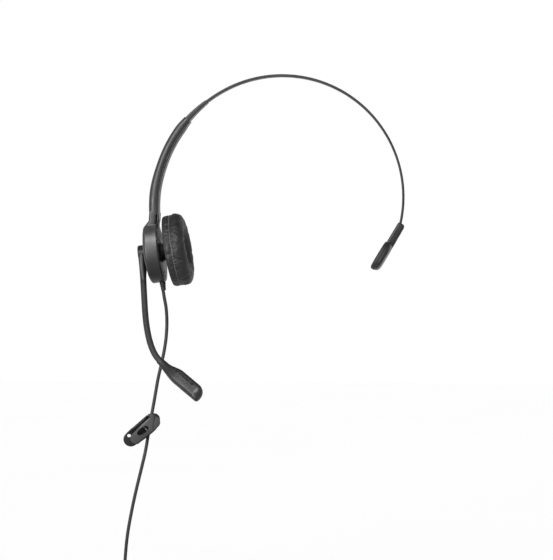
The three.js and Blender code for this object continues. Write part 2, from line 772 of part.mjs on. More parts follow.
// In its own frame: origin where the cord enters, -z to the nose, +y the latch side.
function makePlug(plug) {
  const width = 7.6;
  const deep = 6.5;
  const long = 12;
  const whole = new THREE.BoxGeometry(width, deep, long).translate(0, 0, -long / 2);
  const slots = [];
  for (let i = 0; i < 4; i += 1) {
    slots.push(block((i - 1.5) * 1.27, -deep / 2, -long + 3, 0.9, 5, 6.2));
  }
  const latchRoom = block(0, deep / 2, -long / 2 - 0.6, 4.2, 2.4, long - 2);
  const pressBarRoom = block(0, -deep / 2, -3.4, 5.4, 2.2, 2.2);
  add(plug, "plug_body", cut(whole, ...slots, latchRoom, pressBarRoom), "clear");
  add(plug, "plug_press_bar", block(0, -deep / 2 + 0.3, -3.4, 4.8, 0.9, 1.6), "clear");
  for (let i = 0; i < 4; i += 1) {
    const blade = block((i - 1.5) * 1.27, -deep / 2 + 1.1, -long + 3, 0.3, 2, 3);
    add(plug, "plug_contact_" + (i + 1), blade, "brass");
  }
  const latch = slab(
    polygon([
      [2.35, -long + 0.8],
      [3.3, -long + 0.7],
      [4.3, -long + 5.6],
      [6.2, -1.4],
      [5.5, -1.2],
      [3.1, -long + 6.2],
    ]),
    3.2,
  ).rotateZ(Math.PI / 2);
  add(plug, "plug_latch", latch, "clear");
}

// ---------------------------------------------------------------- clothing clip

// In its own frame: origin on the pin, +x to the jaws' tips, -y to the front, z along the pin.
function makeClip() {
  const slope = rad(CLIP_SLOPE);
  const roll = rad(CLIP_ROLL);
  const along = V(-Math.cos(slope), 0, -Math.sin(slope));
  const down = V(Math.sin(slope), 0, -Math.cos(slope));
  const backwards = V(0, Math.cos(roll), 0).addScaledVector(down, -Math.sin(roll));
  const pinLine = new THREE.Vector3().crossVectors(along, backwards);
  const cordPoint = V(-97.6, 0, -254.5);
  const pinPoint = cordPoint
    .clone()
    .addScaledVector(along, CLIP_STUD)
    .addScaledVector(backwards, -CLIP_HOLD);
  const clip = basisFrame(pinPoint, along, backwards, pinLine);
  headset.add(clip);

  // A plate whose outline lies across y, between two heights.
  const plate = (outline, from, to) =>
    new THREE.ExtrudeGeometry(outline, { depth: to - from, bevelEnabled: false, curveSegments: 8 })
      .rotateX(Math.PI / 2)
      .translate(0, to, 0);
  const acrossPin = (radius, from, to, sides) =>
    new THREE.CylinderGeometry(radius, radius, to - from, sides)
      .rotateX(Math.PI / 2)
      .translate(0, 0, (from + to) / 2);

  const backOutline = new THREE.Shape();
  backOutline.absarc(-8.5, 0, 4.6, Math.PI / 2, 1.5 * Math.PI, false);
  backOutline.lineTo(9, -6);
  backOutline.absarc(14.2, 0, 5.6, -Math.PI / 2, Math.PI / 2, false);
  backOutline.lineTo(9, 6);
  backOutline.closePath();
  const ears = [-1, 1].map((side) => block(0, 0.7, side * 5.2, 4.4, 5, 1.2));
  const hemLand = block(4.8, 2.5, 0, 4, 0.6, 6); // the flat in the throat that a hem rests on
  const studRoom = new THREE.CylinderGeometry(1.5 + RUN, 1.5 + RUN, 8, 16).translate(-CLIP_STUD, 2, 0);
  const loopHole = new THREE.CylinderGeometry(1.7, 1.7, 8, 14).translate(15.4, 2, 2.2);
  const backJaw = cut(
    join(plate(backOutline, 2.6, 4.2), ...ears, hemLand),
    studRoom,
    loopHole,
    acrossPin(1 + GAP, -9, 9, 16),
  );
  add(clip, "clip_back_jaw", backJaw, "plastic");
  add(clip, "clip_pin", acrossPin(1, -5.9, 5.9, 16), "steel");
  add(clip, "clip_spring", tube(1 + GAP, 1.9, -2.3, 2.3, 18).rotateY(Math.PI / 2), "steel");

  const side = polygon([
    [-12.6, -4.6],
    [-6, -4.9],
    [3, -4],
    [9, -2.2],
    [14.6, 0.6],
    [15, 2.2],
    [13.4, 2.2],
    [8, 0.6],
    [2, -2.3],
    [-5, -3.2],
    [-12.4, -3],
  ]);
  const front = new THREE.ExtrudeGeometry(side, { depth: 10, bevelEnabled: false }).translate(0, 0, -5);
  const knuckles = [-1, 1].map((sign) =>
    join(acrossPin(2.2, sign * 3.4 - 0.7, sign * 3.4 + 0.7, 14), block(0, -2.2, sign * 3.4, 3, 2, 1.4)),
  );
  const corners = plate(roundedBox(27.8, 9.8, 4), -8, 4).translate(1.2, 0, 0);
  const wanted = geometryOf(solid(front).intersect(solid(corners)));
  const springRoom = acrossPin(1.9 + GAP, -2.6, 2.6, 16);
  const frontJaw = cut(join(wanted, ...knuckles), acrossPin(1 + GAP, -9, 9, 16), springRoom);
  add(clip, "clip_front_jaw", frontJaw, "plastic");

  // Cable holder: a sleeve on the cord, with the stud that the back jaw turns on.
  const cordTurn = new THREE.Quaternion().setFromUnitVectors(V(0, 1, 0), V(0.178, 0, 0.984).normalize());
  const clipTurn = clip.quaternion.clone();
  const sleeve = new THREE.CylinderGeometry(2.6, 2.6, 9, 18).applyQuaternion(cordTurn);
  const boreRadius = CORD_RADIUS + GAP;
  const bore = new THREE.CylinderGeometry(boreRadius, boreRadius, 12, 12).applyQuaternion(cordTurn);
  const stud = join(
    new THREE.CylinderGeometry(1.5, 1.5, 5, 16).translate(0, -3.7, 0),
    new THREE.CylinderGeometry(2.4, 2.4, 1, 16).translate(0, -CLIP_HOLD + 1.8, 0),
  ).applyQuaternion(clipTurn);
  const holder = cut(join(sleeve, stud), bore).translate(...cordPoint.toArray());
  add(headset, "clip_cable_holder", holder, "plastic");
}

makeHeadband();
makeTempleBar();
makeArm();
makeEarCup();
makeBoom();
makeCord();
makeClip();

export default headset;
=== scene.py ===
"""The looks of a one-ear office headset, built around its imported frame.

Lengths below are millimetres in the frame's own axes: +Z up, the wearer faces -Y, ear cup at -X.
make() turns them into Blender's metres.
"""

import json
import math

import bmesh
import bpy
import numpy as np
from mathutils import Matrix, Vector, noise

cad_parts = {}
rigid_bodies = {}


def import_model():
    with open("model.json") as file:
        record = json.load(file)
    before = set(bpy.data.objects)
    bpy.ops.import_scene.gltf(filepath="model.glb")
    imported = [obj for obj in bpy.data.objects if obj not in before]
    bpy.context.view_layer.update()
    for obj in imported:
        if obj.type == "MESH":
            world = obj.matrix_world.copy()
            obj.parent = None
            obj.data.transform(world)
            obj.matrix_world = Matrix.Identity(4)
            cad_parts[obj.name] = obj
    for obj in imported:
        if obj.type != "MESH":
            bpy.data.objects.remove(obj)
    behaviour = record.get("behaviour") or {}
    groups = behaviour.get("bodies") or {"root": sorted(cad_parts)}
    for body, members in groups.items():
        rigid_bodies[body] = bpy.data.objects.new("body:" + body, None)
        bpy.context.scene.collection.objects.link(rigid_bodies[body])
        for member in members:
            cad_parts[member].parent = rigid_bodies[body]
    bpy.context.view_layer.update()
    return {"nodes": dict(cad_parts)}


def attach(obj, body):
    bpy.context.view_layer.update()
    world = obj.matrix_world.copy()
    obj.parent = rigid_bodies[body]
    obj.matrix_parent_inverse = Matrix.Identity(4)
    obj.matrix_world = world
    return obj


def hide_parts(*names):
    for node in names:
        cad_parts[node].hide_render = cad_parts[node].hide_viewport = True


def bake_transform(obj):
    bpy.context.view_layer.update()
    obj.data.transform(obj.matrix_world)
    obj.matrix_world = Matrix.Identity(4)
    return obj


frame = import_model()

# ---- driving dimensions

MM = 0.001

CROWN_RADIUS = 90
ARM_RADIUS = 97
TANGENT_ANGLE = 116
TEMPLE_ANGLE = -15.5
STRIP_FOOT_ANGLE = 172
STRIP_THICK = 1.8
STRIP_WIDTH = 8
SLEEVE_MOUTH_ANGLE = 138.5
SLEEVE_FOOT_ANGLE = 184
SLEEVE_HALF_THICK = 2.85  # at the mouth
SLEEVE_HALF_WIDE = 6.1  # at the mouth
COLLAR_START_ANGLE = 127

POD_CENTRE = (-95, 0, -130.6)
POD_TILT = 8
POD_RADIUS = 21.7
POD_HALF = 6
BALL_OUT = 7.2
SCREW_CIRCLE = 16
SCREW_ANGLES = (35, 145, 270)

CUP_TILT = 9.5
CUSHION_BACK = 3.8
CUSHION_THICK = 15
COVER_RADIUS = 27  # the cover's fullest ring
CUSHION_HOLE = 10
SHELL_RADIUS = 21.2
SEAM_AT = 5.6  # the stitched seam, from the cushion's back
STITCHES = 76
GRILLE_HOLE = 8.9
GRILLE_PITCH = 3.4

BOOM_ANGLE = 30
BOOM_PLANE = -9.2
BOOM_RADIUS = 2.3
HUB_RADIUS = 7.6
HUB_THICK = 5
STALK_END = 44
FLEX_CORNER = 80.4
MIC_START = (91, 0)
MIC_LENGTH = 43
MIC_WIDTH = 9.4
MIC_DEPTH = 8

BAR_TILT = 31
BAR_LENGTH = 44
BAR_HEIGHT = 20
BAR_CORNER = 9

CORD_RADIUS = 1.25
COIL_CENTRE = (-101.6, 0, -383)
COIL_RADIUS = 14
COIL_ROWS = 3
COIL_COLUMNS = 6
COIL_TURNS = 16
PLUG_TOP = -403
PLUG_SIZE = (7.6, 6.5, 12)
CONTACTS = 4
CONTACT_PITCH = 1.27

CLIP_SLOPE = 41
CLIP_ROLL = 15
CLIP_HOLD = 8
CLIP_STUD = 5.5
CLIP_AT = (-97.6, 0, -254.5)
CHANNEL_TURN = 41.6  # the raised channel's direction across the clip's front jaw

# ---- geometry helpers


def vec(*values):
    return np.array(values, float)


def unit(v):
    return v / np.linalg.norm(v)


def polar(radius, degrees):
    a = math.radians(degrees)
    return radius * math.cos(a), radius * math.sin(a)


def eased(value, start, stop):
    """0 up to start, 1 from stop on and a smooth climb between them."""
    share = min(max((value - start) / (stop - start), 0), 1)
    return share * share * (3 - 2 * share)


def axes(origin, x, y, z):
    """A local frame as a 4x4 matrix, in millimetres."""
    made = np.eye(4)
    made[:3, 0], made[:3, 1], made[:3, 2], made[:3, 3] = x, y, z, origin
    return made


def leaning(origin, degrees):
    """A frame whose x axis is tipped up by this much in the XZ plane."""
    c, s = polar(1, degrees)
    return axes(origin, (c, 0, s), (0, 1, 0), (-s, 0, c))


def moved(points, matrix):
    return np.asarray(points, float) @ matrix[:3, :3].T + matrix[:3, 3]


def placed(part, matrix):
    return moved(part[0], matrix), part[1]


def reordered(part, *order, shift=(0, 0, 0)):
    """The part with its axes swapped: order says which old axis each new one is."""
    return np.stack([part[0][:, k] for k in order], 1) + vec(*shift), part[1]


def circle_point(centre, radius, degrees):
    x, z = polar(radius, degrees)
    return vec(centre[0] + x, 0, centre[1] + z)


def skin(sections, loop=False, caps=True):
    """Faces over cross-sections that all have the same number of points."""
    around, count = len(sections[0]), len(sections)
    faces = []
    for i in range(count if loop else count - 1):
        a, b = i * around, ((i + 1) % count) * around
        for j in range(around):
            k = (j + 1) % around
            faces.append((a + j, a + k, b + k, b + j))
    if caps and not loop:
        faces.append(tuple(range(around)))
        faces.append(tuple((count - 1) * around + j for j in range(around)))
    return np.concatenate([np.asarray(s, float) for s in sections]), faces


def soften(points, radius, steps=4, closed=True):
    """The same outline with its corners turned into small curves."""
    points = [np.asarray(p, float) for p in points]
    out = []
    for i, p in enumerate(points):
        if not closed and i in (0, len(points) - 1):
            out.append(p)
            continue
        before, after = points[i - 1] - p, points[(i + 1) % len(points)] - p
        reach = min(radius, 0.49 * np.linalg.norm(before), 0.49 * np.linalg.norm(after))
        a, b = p + reach * unit(before), p + reach * unit(after)
        for k in range(steps + 1):
            t = k / steps
            out.append((1 - t) ** 2 * a + 2 * t * (1 - t) * p + t * t * b)
    return np.array(out)


def turned(profile, segments=96, closed=False):
    """A profile of (along, radius) turned about the local x axis."""
    sections = []
    for x, r in profile:
        turn = np.arange(segments) * 2 * math.pi / segments
        sections.append(np.stack([np.full(segments, x), r * np.cos(turn), r * np.sin(turn)], 1))
    return skin(sections, loop=closed, caps=False)


def hoop(low, high, hole, radius, edge, steps=3, segments=48):
    """A ring with a softened square section, from low to high along x."""
    section = soften([(low, hole), (low, radius), (high, radius), (high, hole)], edge, steps)
    return turned(section, segments, closed=True)


def rounded_rect(width, height, radius, steps=6):
    w, h = width / 2, height / 2
    corners = [(w, h), (-w, h), (-w, -h), (w, -h)]
    return soften(corners, radius * 1.3, steps)


def superellipse(half_y, half_z, power, count=64):
    turn = np.arange(count) * 2 * math.pi / count
    c, s = np.cos(turn), np.sin(turn)
    y = half_y * np.sign(c) * np.abs(c) ** (2 / power)
    z = half_z * np.sign(s) * np.abs(s) ** (2 / power)
    return np.stack([y, z], 1)


def extruded(outline, low, high, edge=0.5, steps=3):
    """An outline in the local (x, z) plane, made thick along y from low to high, with rounded rims."""
    outline = np.asarray(outline, float)
    after = np.roll(outline, -1, 0) - outline
    before = outline - np.roll(outline, 1, 0)
    along = after / np.maximum(np.linalg.norm(after, axis=1), 1e-9)[:, None]
    along += before / np.maximum(np.linalg.norm(before, axis=1), 1e-9)[:, None]
    along /= np.maximum(np.linalg.norm(along, axis=1), 1e-9)[:, None]
    area = np.sum(outline[:, 0] * np.roll(outline[:, 1], -1) - np.roll(outline[:, 0], -1) * outline[:, 1])
    inward = np.stack([-along[:, 1], along[:, 0]], 1) * (1 if area > 0 else -1)
    levels = []
    for i in range(steps + 1):
        a = 0.5 * math.pi * i / steps
        levels.append((low + edge * (1 - math.sin(a)), edge * (1 - math.cos(a))))
    levels = levels[::-1]
    levels += [(low + high - y, inset) for y, inset in levels[::-1]]
    levels.sort(key=lambda level: level[0])
    sections = []
    for y, inset in levels:
        flat = outline + inward * inset
        sections.append(np.stack([flat[:, 0], np.full(len(flat), y), flat[:, 1]], 1))
    return skin(sections)


def tube(centres, radii, across=None, count=24):
    """A round tube along points in space, with a radius at each."""
    centres = np.asarray(centres, float)
    tangents = np.gradient(centres, axis=0)
    side = vec(0, 1, 0) if across is None else unit(np.asarray(across, float))
    sections = []
    for p, t, r in zip(centres, tangents, np.broadcast_to(radii, len(centres))):
        t = unit(t)
        u = unit(side - np.dot(side, t) * t)
        v = np.cross(t, u)
        turn = np.arange(count) * 2 * math.pi / count
        sections.append(p + r * (np.cos(turn)[:, None] * u + np.sin(turn)[:, None] * v))
    return skin(sections)


def rod(start, end, radius, edge=0.15, count=32):
    """A cylinder between two points with softened rims."""
    start, end = np.asarray(start, float), np.asarray(end, float)
    length = np.linalg.norm(end - start)
    profile = soften([(0, 0), (0, radius), (length, radius), (length, 0)], edge, 3, closed=False)
    x = unit(end - start)
    y = unit(np.cross(x, vec(0.3, 1, 0.2)))
    points, faces = turned(profile, count)
    return moved(points, axes(start, x, y, np.cross(x, y))), faces


def together(*parts):
    points, faces, first = [], [], 0
    for p, f in parts:
        points.append(np.asarray(p, float))
        faces += [tuple(i + first for i in face) for face in f]
        first += len(p)
    return np.concatenate(points), faces


def new_object(name, data):
    obj = bpy.data.objects.new(name, data)
    bpy.context.scene.collection.objects.link(obj)
    return obj


def make(name, part, matrix=None, sharp=40):
    """A mesh object from points in millimetres."""
    points, faces = part
    if matrix is not None:
        points = moved(points, matrix)
    mesh = bpy.data.meshes.new(name)
    mesh.from_pydata((np.asarray(points) * MM).tolist(), [], faces)
    obj = new_object(name, mesh)
    tidy_mesh(obj, sharp)
    return obj


def tidy_mesh(obj, sharp=40):
    work = bmesh.new()
    work.from_mesh(obj.data)
    bmesh.ops.remove_doubles(work, verts=work.verts, dist=2e-7)
    bmesh.ops.dissolve_degenerate(work, edges=work.edges, dist=1e-7)
    bmesh.ops.recalc_face_normals(work, faces=work.faces)
    work.to_mesh(obj.data)
    work.free()
    obj.data.shade_smooth()
    obj.data.set_sharp_from_angle(angle=math.radians(sharp))


def with_modifier(obj, kind, **settings):
    """Adds one modifier and applies it at once."""
    modifier = obj.modifiers.new(kind, kind)
    for key, value in settings.items():
        setattr(modifier, key, value)
    graph = bpy.context.evaluated_depsgraph_get()
    old = obj.data
    obj.data = bpy.data.meshes.new_from_object(obj.evaluated_get(graph))
    obj.modifiers.clear()
    bpy.data.meshes.remove(old)
    return obj


def carve(obj, *parts, matrix=None, sharp=40):
    """Takes each part away from obj."""
    for part in parts:
        cutter = make("cutter", part, matrix)
        with_modifier(obj, "BOOLEAN", operation="DIFFERENCE", solver="EXACT", object=cutter)
        bpy.data.objects.remove(cutter)
    tidy_mesh(obj, sharp)
    return obj


def fuse(obj, voxel, smoothing, sharp=60):
    """Melts overlapping parts into one skin with small fillets where they meet."""
    with_modifier(obj, "REMESH", mode="VOXEL", voxel_size=voxel * MM, adaptivity=0)
    with_modifier(obj, "SMOOTH", factor=0.5, iterations=smoothing)
    tidy_mesh(obj, sharp)
    return obj


def finish_piece(obj, body, finish, *nodes):
    """Gives a piece the material of its finish (the finish's slot is left unused), its body, and hides the
    CAD nodes it replaces.
    """
    material, slot = finish
    obj.data.materials.clear()
    obj.data.materials.append(material)
    if body:
        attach(obj, body)
    if nodes:
        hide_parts(*nodes)
    return obj


def add_piece(name, part, place, body, finish, *nodes, sharp=40):
    return finish_piece(make(name, part, place, sharp), body, finish, *nodes)


# ---- materials


def new_material(name, color, roughness, metallic=0.0, specular=0.5):
    material = bpy.data.materials.new(name)
    material.use_nodes = True
    shader = material.node_tree.nodes["Principled BSDF"]
    shader.inputs["Base Color"].default_value = (*color, 1)
    shader.inputs["Roughness"].default_value = roughness
    shader.inputs["Metallic"].default_value = metallic
    shader.inputs["Specular IOR Level"].default_value = specular
    return material, shader


def texture(material, kind, scale, stretch=(1, 1, 1), **inputs):
    """A procedural texture in object space, in cycles for each metre."""
    tree = material.node_tree
    place = tree.nodes.new("ShaderNodeTexCoord")
    mapping = tree.nodes.new("ShaderNodeMapping")
    mapping.inputs["Scale"].default_value = stretch
    made = tree.nodes.new(kind)
    made.inputs["Scale"].default_value = scale
    for key, value in inputs.items():
        made.inputs[key].default_value = value
    tree.links.new(place.outputs["Object"], mapping.inputs["Vector"])
    tree.links.new(mapping.outputs["Vector"], made.inputs["Vector"])
    return made


def noise_field(material, scale, stretch=(1, 1, 1), **inputs):
    return texture(material, "ShaderNodeTexNoise", scale, stretch, **inputs).outputs["Fac"]


def between(material, value, low, high, start=0.35, stop=0.65):
    """Maps a texture's middle range onto low to high."""
    node = material.node_tree.nodes.new("ShaderNodeMapRange")
    node.inputs["From Min"].default_value = start
    node.inputs["From Max"].default_value = stop
    node.inputs["To Min"].default_value = low
    node.inputs["To Max"].default_value = high
    material.node_tree.links.new(value, node.inputs["Value"])
    return node.outputs["Result"]


def shades(material, shader, value, dark, light, start=0.35, stop=0.65):
    """Base colour that wanders between two shades."""
    node = material.node_tree.nodes.new("ShaderNodeValToRGB")
    node.color_ramp.elements[0].position = start
    node.color_ramp.elements[1].position = stop
    node.color_ramp.elements[0].color = (*dark, 1)
    node.color_ramp.elements[1].color = (*light, 1)
    material.node_tree.links.new(value, node.inputs["Fac"])
    material.node_tree.links.new(node.outputs["Color"], shader.inputs["Base Color"])


def relief(material, shader, layers):
    """Stacks bumps, each a (value, height in millimetres, strength)."""
    last = None
    for value, height, strength in layers:
        bump = material.node_tree.nodes.new("ShaderNodeBump")
        bump.inputs["Strength"].default_value = strength
        bump.inputs["Distance"].default_value = height * MM
        material.node_tree.links.new(value, bump.inputs["Height"])
        if last is not None:
            material.node_tree.links.new(last, bump.inputs["Normal"])
        last = bump.outputs["Normal"]
    material.node_tree.links.new(last, shader.inputs["Normal"])


def moulded(name, slot, dark, light, roughness, grain=2600, depth=0.012):
    """Moulded plastic: a fine spark-eroded grain with slightly polished, handled areas."""
    material, shader = new_material(name, dark, roughness, specular=0.2)
    broad = noise_field(material, 55, Detail=3.0)
    fine = noise_field(material, grain, Detail=2.0)
    handled = noise_field(material, 140, Detail=4.0)
    shades(material, shader, broad, dark, light)
    worn = between(material, handled, roughness - 0.05, roughness + 0.08)
    material.node_tree.links.new(worn, shader.inputs["Roughness"])
    relief(material, shader, [(handled, 0.03, 0.1), (fine, depth, 0.3)])
    return material, slot


def make_leatherette():
    material, shader = new_material("leatherette", (0.008, 0.008, 0.0085), 0.5, specular=0.2)
    pores = texture(material, "ShaderNodeTexVoronoi", 1500, Randomness=1.0)
    creases = noise_field(material, 520, Detail=6.0, Distortion=0.8)
    folds = noise_field(material, 150, Detail=4.0, Distortion=1.2)
    shades(material, shader, folds, (0.005, 0.005, 0.0055), (0.010, 0.010, 0.0106))
    dull = between(material, creases, 0.42, 0.66)
    material.node_tree.links.new(dull, shader.inputs["Roughness"])
    layers = [
        (folds, 0.5, 0.35),
        (creases, 0.16, 0.5),
        (pores.outputs["Distance"], 0.06, 0.5),
    ]
    relief(material, shader, layers)
    return material, "leatherette"


def make_metal(name, slot, color, roughness, streaks):
    material, shader = new_material(name, color, roughness, metallic=1.0)
    drawn = noise_field(material, 900, stretch=streaks, Detail=3.0)
    rough = between(material, drawn, roughness - 0.06, roughness + 0.1)
    material.node_tree.links.new(rough, shader.inputs["Roughness"])
    pale = tuple(min(1, 1.12 * c) for c in color)
    shades(material, shader, drawn, color, pale)
    relief(material, shader, [(drawn, 0.01, 0.3)])
    return material, slot


def make_clear():
    material, shader = new_material("clear_polycarbonate", (0.93, 0.95, 0.96), 0.08)
    shader.inputs["Transmission Weight"].default_value = 0.85
    shader.inputs["IOR"].default_value = 1.45
    haze = noise_field(material, 260, Detail=3.0)
    rough = between(material, haze, 0.05, 0.14)
    material.node_tree.links.new(rough, shader.inputs["Roughness"])
    shades(material, shader, haze, (0.90, 0.92, 0.94), (0.96, 0.97, 0.98))
    return material, "clear_plastic"


def grey(value, blue=0.0005):
    return value, value, value + blue


PLASTIC = "satin_plastic"
plastic = moulded("moulded_plastic", PLASTIC, grey(0.0065), grey(0.0095), 0.36)
dark_plastic = moulded("dark_plastic", PLASTIC, grey(0.004), grey(0.007), 0.5)
grey_plastic = moulded("clip_plastic", PLASTIC, grey(0.024), grey(0.034, 0.001), 0.42)
coat = moulded("band_coat", "band_coat", grey(0.008, 0.0004), grey(0.011, 0.0004), 0.38, 900, 0.004)
rubber = moulded("soft_rubber", "soft_rubber", grey(0.0065), grey(0.0105), 0.55, 1900, 0.015)
jacket = moulded("cord_jacket", "cord_jacket", grey(0.008), grey(0.012, 0.0007), 0.46, 1500, 0.01)
# Real stitching thread, but its pale grey is partly painted highlight: it stands in for the glints on the
# wrinkles along the seam.
thread = moulded("thread", "leatherette", grey(0.05, 0.002), grey(0.10, 0.003), 0.7, depth=0.03)
screen_cloth = moulded("port_screen", "soft_rubber", grey(0.035, 0.001), grey(0.075, 0.002), 0.6, 3400, 0.05)
film = moulded("speaker_film", "speaker_film", (0.30, 0.26, 0.18), (0.38, 0.33, 0.24), 0.3, 1800)
leatherette = make_leatherette()
steel = make_metal("bright_steel", "steel", grey(0.60, 0.01), 0.25, (1, 8, 1))
blued = make_metal("blued_steel", "steel", grey(0.05, 0.005), 0.35, (1, 8, 1))
brass = make_metal("gold_plate", "brass", (0.80, 0.60, 0.24), 0.2, (1, 1, 6))
clear = make_clear()

# ---- camera, light and floor

AIM = (-3.7, 0, -150.2)
CAMERA_AWAY = 1500
CAMERA_TURN = 4.5
LENS = 131.96
SENSOR = 36
FLOOR_HEIGHT = -430
FLOOR_REACH = 4000


def look_at(obj, target):
    direction = Vector(target) - obj.location
    obj.rotation_euler = direction.to_track_quat("-Z", "Y").to_euler()


def make_camera():
    data = bpy.data.cameras.new("camera")
    data.sensor_fit = "HORIZONTAL"
    data.sensor_width = SENSOR
    data.lens = LENS
    data.clip_end = 60
    camera = new_object("camera", data)
    c, s = polar(1, CAMERA_TURN)
    away = vec(s, -c, 0) * CAMERA_AWAY
    camera.location = Vector((vec(*AIM) + away) * MM)
    look_at(camera, vec(*AIM) * MM)
    bpy.context.scene.camera = camera


def softbox(name, place, size, power, target=(-0.1, 0, -0.13), only=None):
    """A rectangular light; with a collection in only, it lights nothing else."""
    data = bpy.data.lights.new(name, "AREA")
    data.shape = "RECTANGLE"
    data.size, data.size_y = size
    data.energy = power
    light = new_object(name, data)
    light.location = place
    look_at(light, target)
    if only is not None:
        light.light_linking.receiver_collection = only


def make_studio(lit, casings):
    """Even white surroundings, and softboxes that only touch the headset."""
    world = bpy.data.worlds.new("studio")
    world.use_nodes = True
    background = world.node_tree.nodes["Background"]
    background.inputs["Color"].default_value = (1, 1, 1, 1)
    # White around the horizon, dimmer overhead.
    toward = world.node_tree.nodes.new("ShaderNodeTexCoord")
    height = world.node_tree.nodes.new("ShaderNodeSeparateXYZ")
    fade = world.node_tree.nodes.new("ShaderNodeMapRange")
    for name, value in (("From Min", 0.25), ("From Max", 0.7), ("To Min", 1.0), ("To Max", 0.2)):
        fade.inputs[name].default_value = value
    world.node_tree.links.new(toward.outputs["Generated"], height.inputs["Vector"])
    world.node_tree.links.new(height.outputs["Z"], fade.inputs["Value"])
    world.node_tree.links.new(fade.outputs["Result"], background.inputs["Strength"])
    bpy.context.scene.world = world
    bpy.context.scene.view_settings.view_transform = "Standard"
    softbox("key", (-0.1, -0.40, 0.52), (0.55, 0.3), 17, only=casings)
    softbox("fill", (-0.12, -0.75, 0.55), (0.5, 0.3), 9, only=lit)
    softbox("side", (-0.60, -0.95, 0.0), (0.45, 1.0), 30, only=lit)
    softbox("rim", (1.0, -0.35, 0.45), (0.5, 0.5), 2.5, only=lit)


def make_floor():
    """A white floor with a sun that lights only it."""
    floor_material, shader = new_material("floor", (0.99, 0.99, 0.99), 0.9, specular=0.0)
    mottle = noise_field(floor_material, 3, Detail=2.0)
    shades(floor_material, shader, mottle, (0.985, 0.985, 0.987), (0.992, 0.992, 0.993))
    turns = ((-1, -1), (1, -1), (1, 1), (-1, 1))
    corners = [(FLOOR_REACH * x, FLOOR_REACH * y, FLOOR_HEIGHT) for x, y in turns]
    floor = make("floor", (corners, [(0, 1, 2, 3)]))
    floor.data.materials.append(floor_material)
    only_floor = bpy.data.collections.new("floor_only")
    only_floor.objects.link(floor)
    data = bpy.data.lights.new("overhead", "SUN")
    data.energy = 1.9
    data.angle = math.radians(150)
    overhead = new_object("overhead", data)
    overhead.light_linking.receiver_collection = only_floor


# ---- cord

CORD_START = (-88.55, 0, -156.2)  # inside the strain relief
# From the strain relief down to the coil: the same points as the CAD cord.
HANGING_ROUTE = [
    (-88.1, 0, -158.8), (-87.4, 0, -163), (-86.0, 0, -171), (-85.4, 0, -181),
    (-85.9, 0, -192), (-87.3, 0, -202), (-89.6, 0, -213), (-92.0, 0, -223.5),
    (-94.2, 0, -236), (-96.0, 0, -246), (-97.8, 0, -255.5), (-99.5, 0, -266),
    (-101.6, 0.2, -278), (-105.0, 0.8, -292), (-109.0, 1.8, -308), (-112.6, 3.2, -324),
    (-115.6, 4.6, -340), (-117.4, 5.7, -356), (-118.05, 6.2, -368), (-118.1, 6.25, -373.6),
]


def centripetal(points, steps=8):
    """The smooth curve through the points that the CAD cord follows."""
    points = [np.asarray(p, float) for p in points]
    padded = [2 * points[0] - points[1], *points, 2 * points[-1] - points[-2]]
    out = []
    for p0, p1, p2, p3 in zip(padded, padded[1:], padded[2:], padded[3:]):
        t1 = np.linalg.norm(p1 - p0) ** 0.5
        t2 = t1 + np.linalg.norm(p2 - p1) ** 0.5
        t3 = t2 + np.linalg.norm(p3 - p2) ** 0.5
        for k in range(steps):
            t = t1 + (t2 - t1) * k / steps
            a1 = (t1 - t) / t1 * p0 + t / t1 * p1
            a2 = (t2 - t) / (t2 - t1) * p1 + (t - t1) / (t2 - t1) * p2
            a3 = (t3 - t) / (t3 - t2) * p2 + (t - t2) / (t3 - t2) * p3
            b1 = (t2 - t) / t2 * a1 + t / t2 * a2
            b2 = (t3 - t) / (t3 - t1) * a2 + (t - t1) / (t3 - t1) * a3
            out.append((t2 - t) / (t2 - t1) * b1 + (t - t1) / (t2 - t1) * b2)
    out.append(points[-1])
    return out


def coil_slots():
    """Radius and depth of each turn, in pancakes wound out, in, out and so on."""
    slots = []
    for column in range(COIL_COLUMNS):
        rows = range(COIL_ROWS) if column % 2 == 0 else reversed(range(COIL_ROWS))
        depth = ((COIL_COLUMNS - 1) / 2 - column) * 2 * CORD_RADIUS
        for row in rows:
            slots.append((COIL_RADIUS + ((COIL_ROWS - 1) / 2 - row) * 2 * CORD_RADIUS, depth))
    return slots


def coil_route(step=6):
    """Turns that climb to the next slot over a short stretch, each just before the last one's place."""
    slots = coil_slots()
    shift_length, ramp_length = 8.6, 10
    windows = []
    for (r1, _), (r2, _) in zip(slots, slots[1:]):
        length = shift_length if r1 == r2 else ramp_length
        windows.append(math.degrees(length / ((r1 + r2) / 2)))
    inner = sum(360 - a - b for a, b in zip(windows, windows[1:]))
    spare = COIL_TURNS * 360 - inner - sum(windows)
    starts, at = [], spare / 2
    for i, window in enumerate(windows):
        starts.append(at)
        after = windows[i + 1] if i + 1 < len(windows) else 0
        at += 360 - after
    route = []
    for turn in np.arange(0, COIL_TURNS * 360 + 1e-6, step):
        radius, depth = slots[0]
        for i, window in enumerate(windows):
            share = min(max((turn - starts[i]) / window, 0), 1)
            ease = (1 - math.cos(math.pi * share)) / 2
            radius += (slots[i + 1][0] - slots[i][0]) * ease
            depth += (slots[i + 1][1] - slots[i][1]) * ease
        a = math.radians(180 + turn)
        centre = vec(*COIL_CENTRE)
        route.append(centre + vec(radius * math.cos(a), depth, radius * math.sin(a)))
    return route


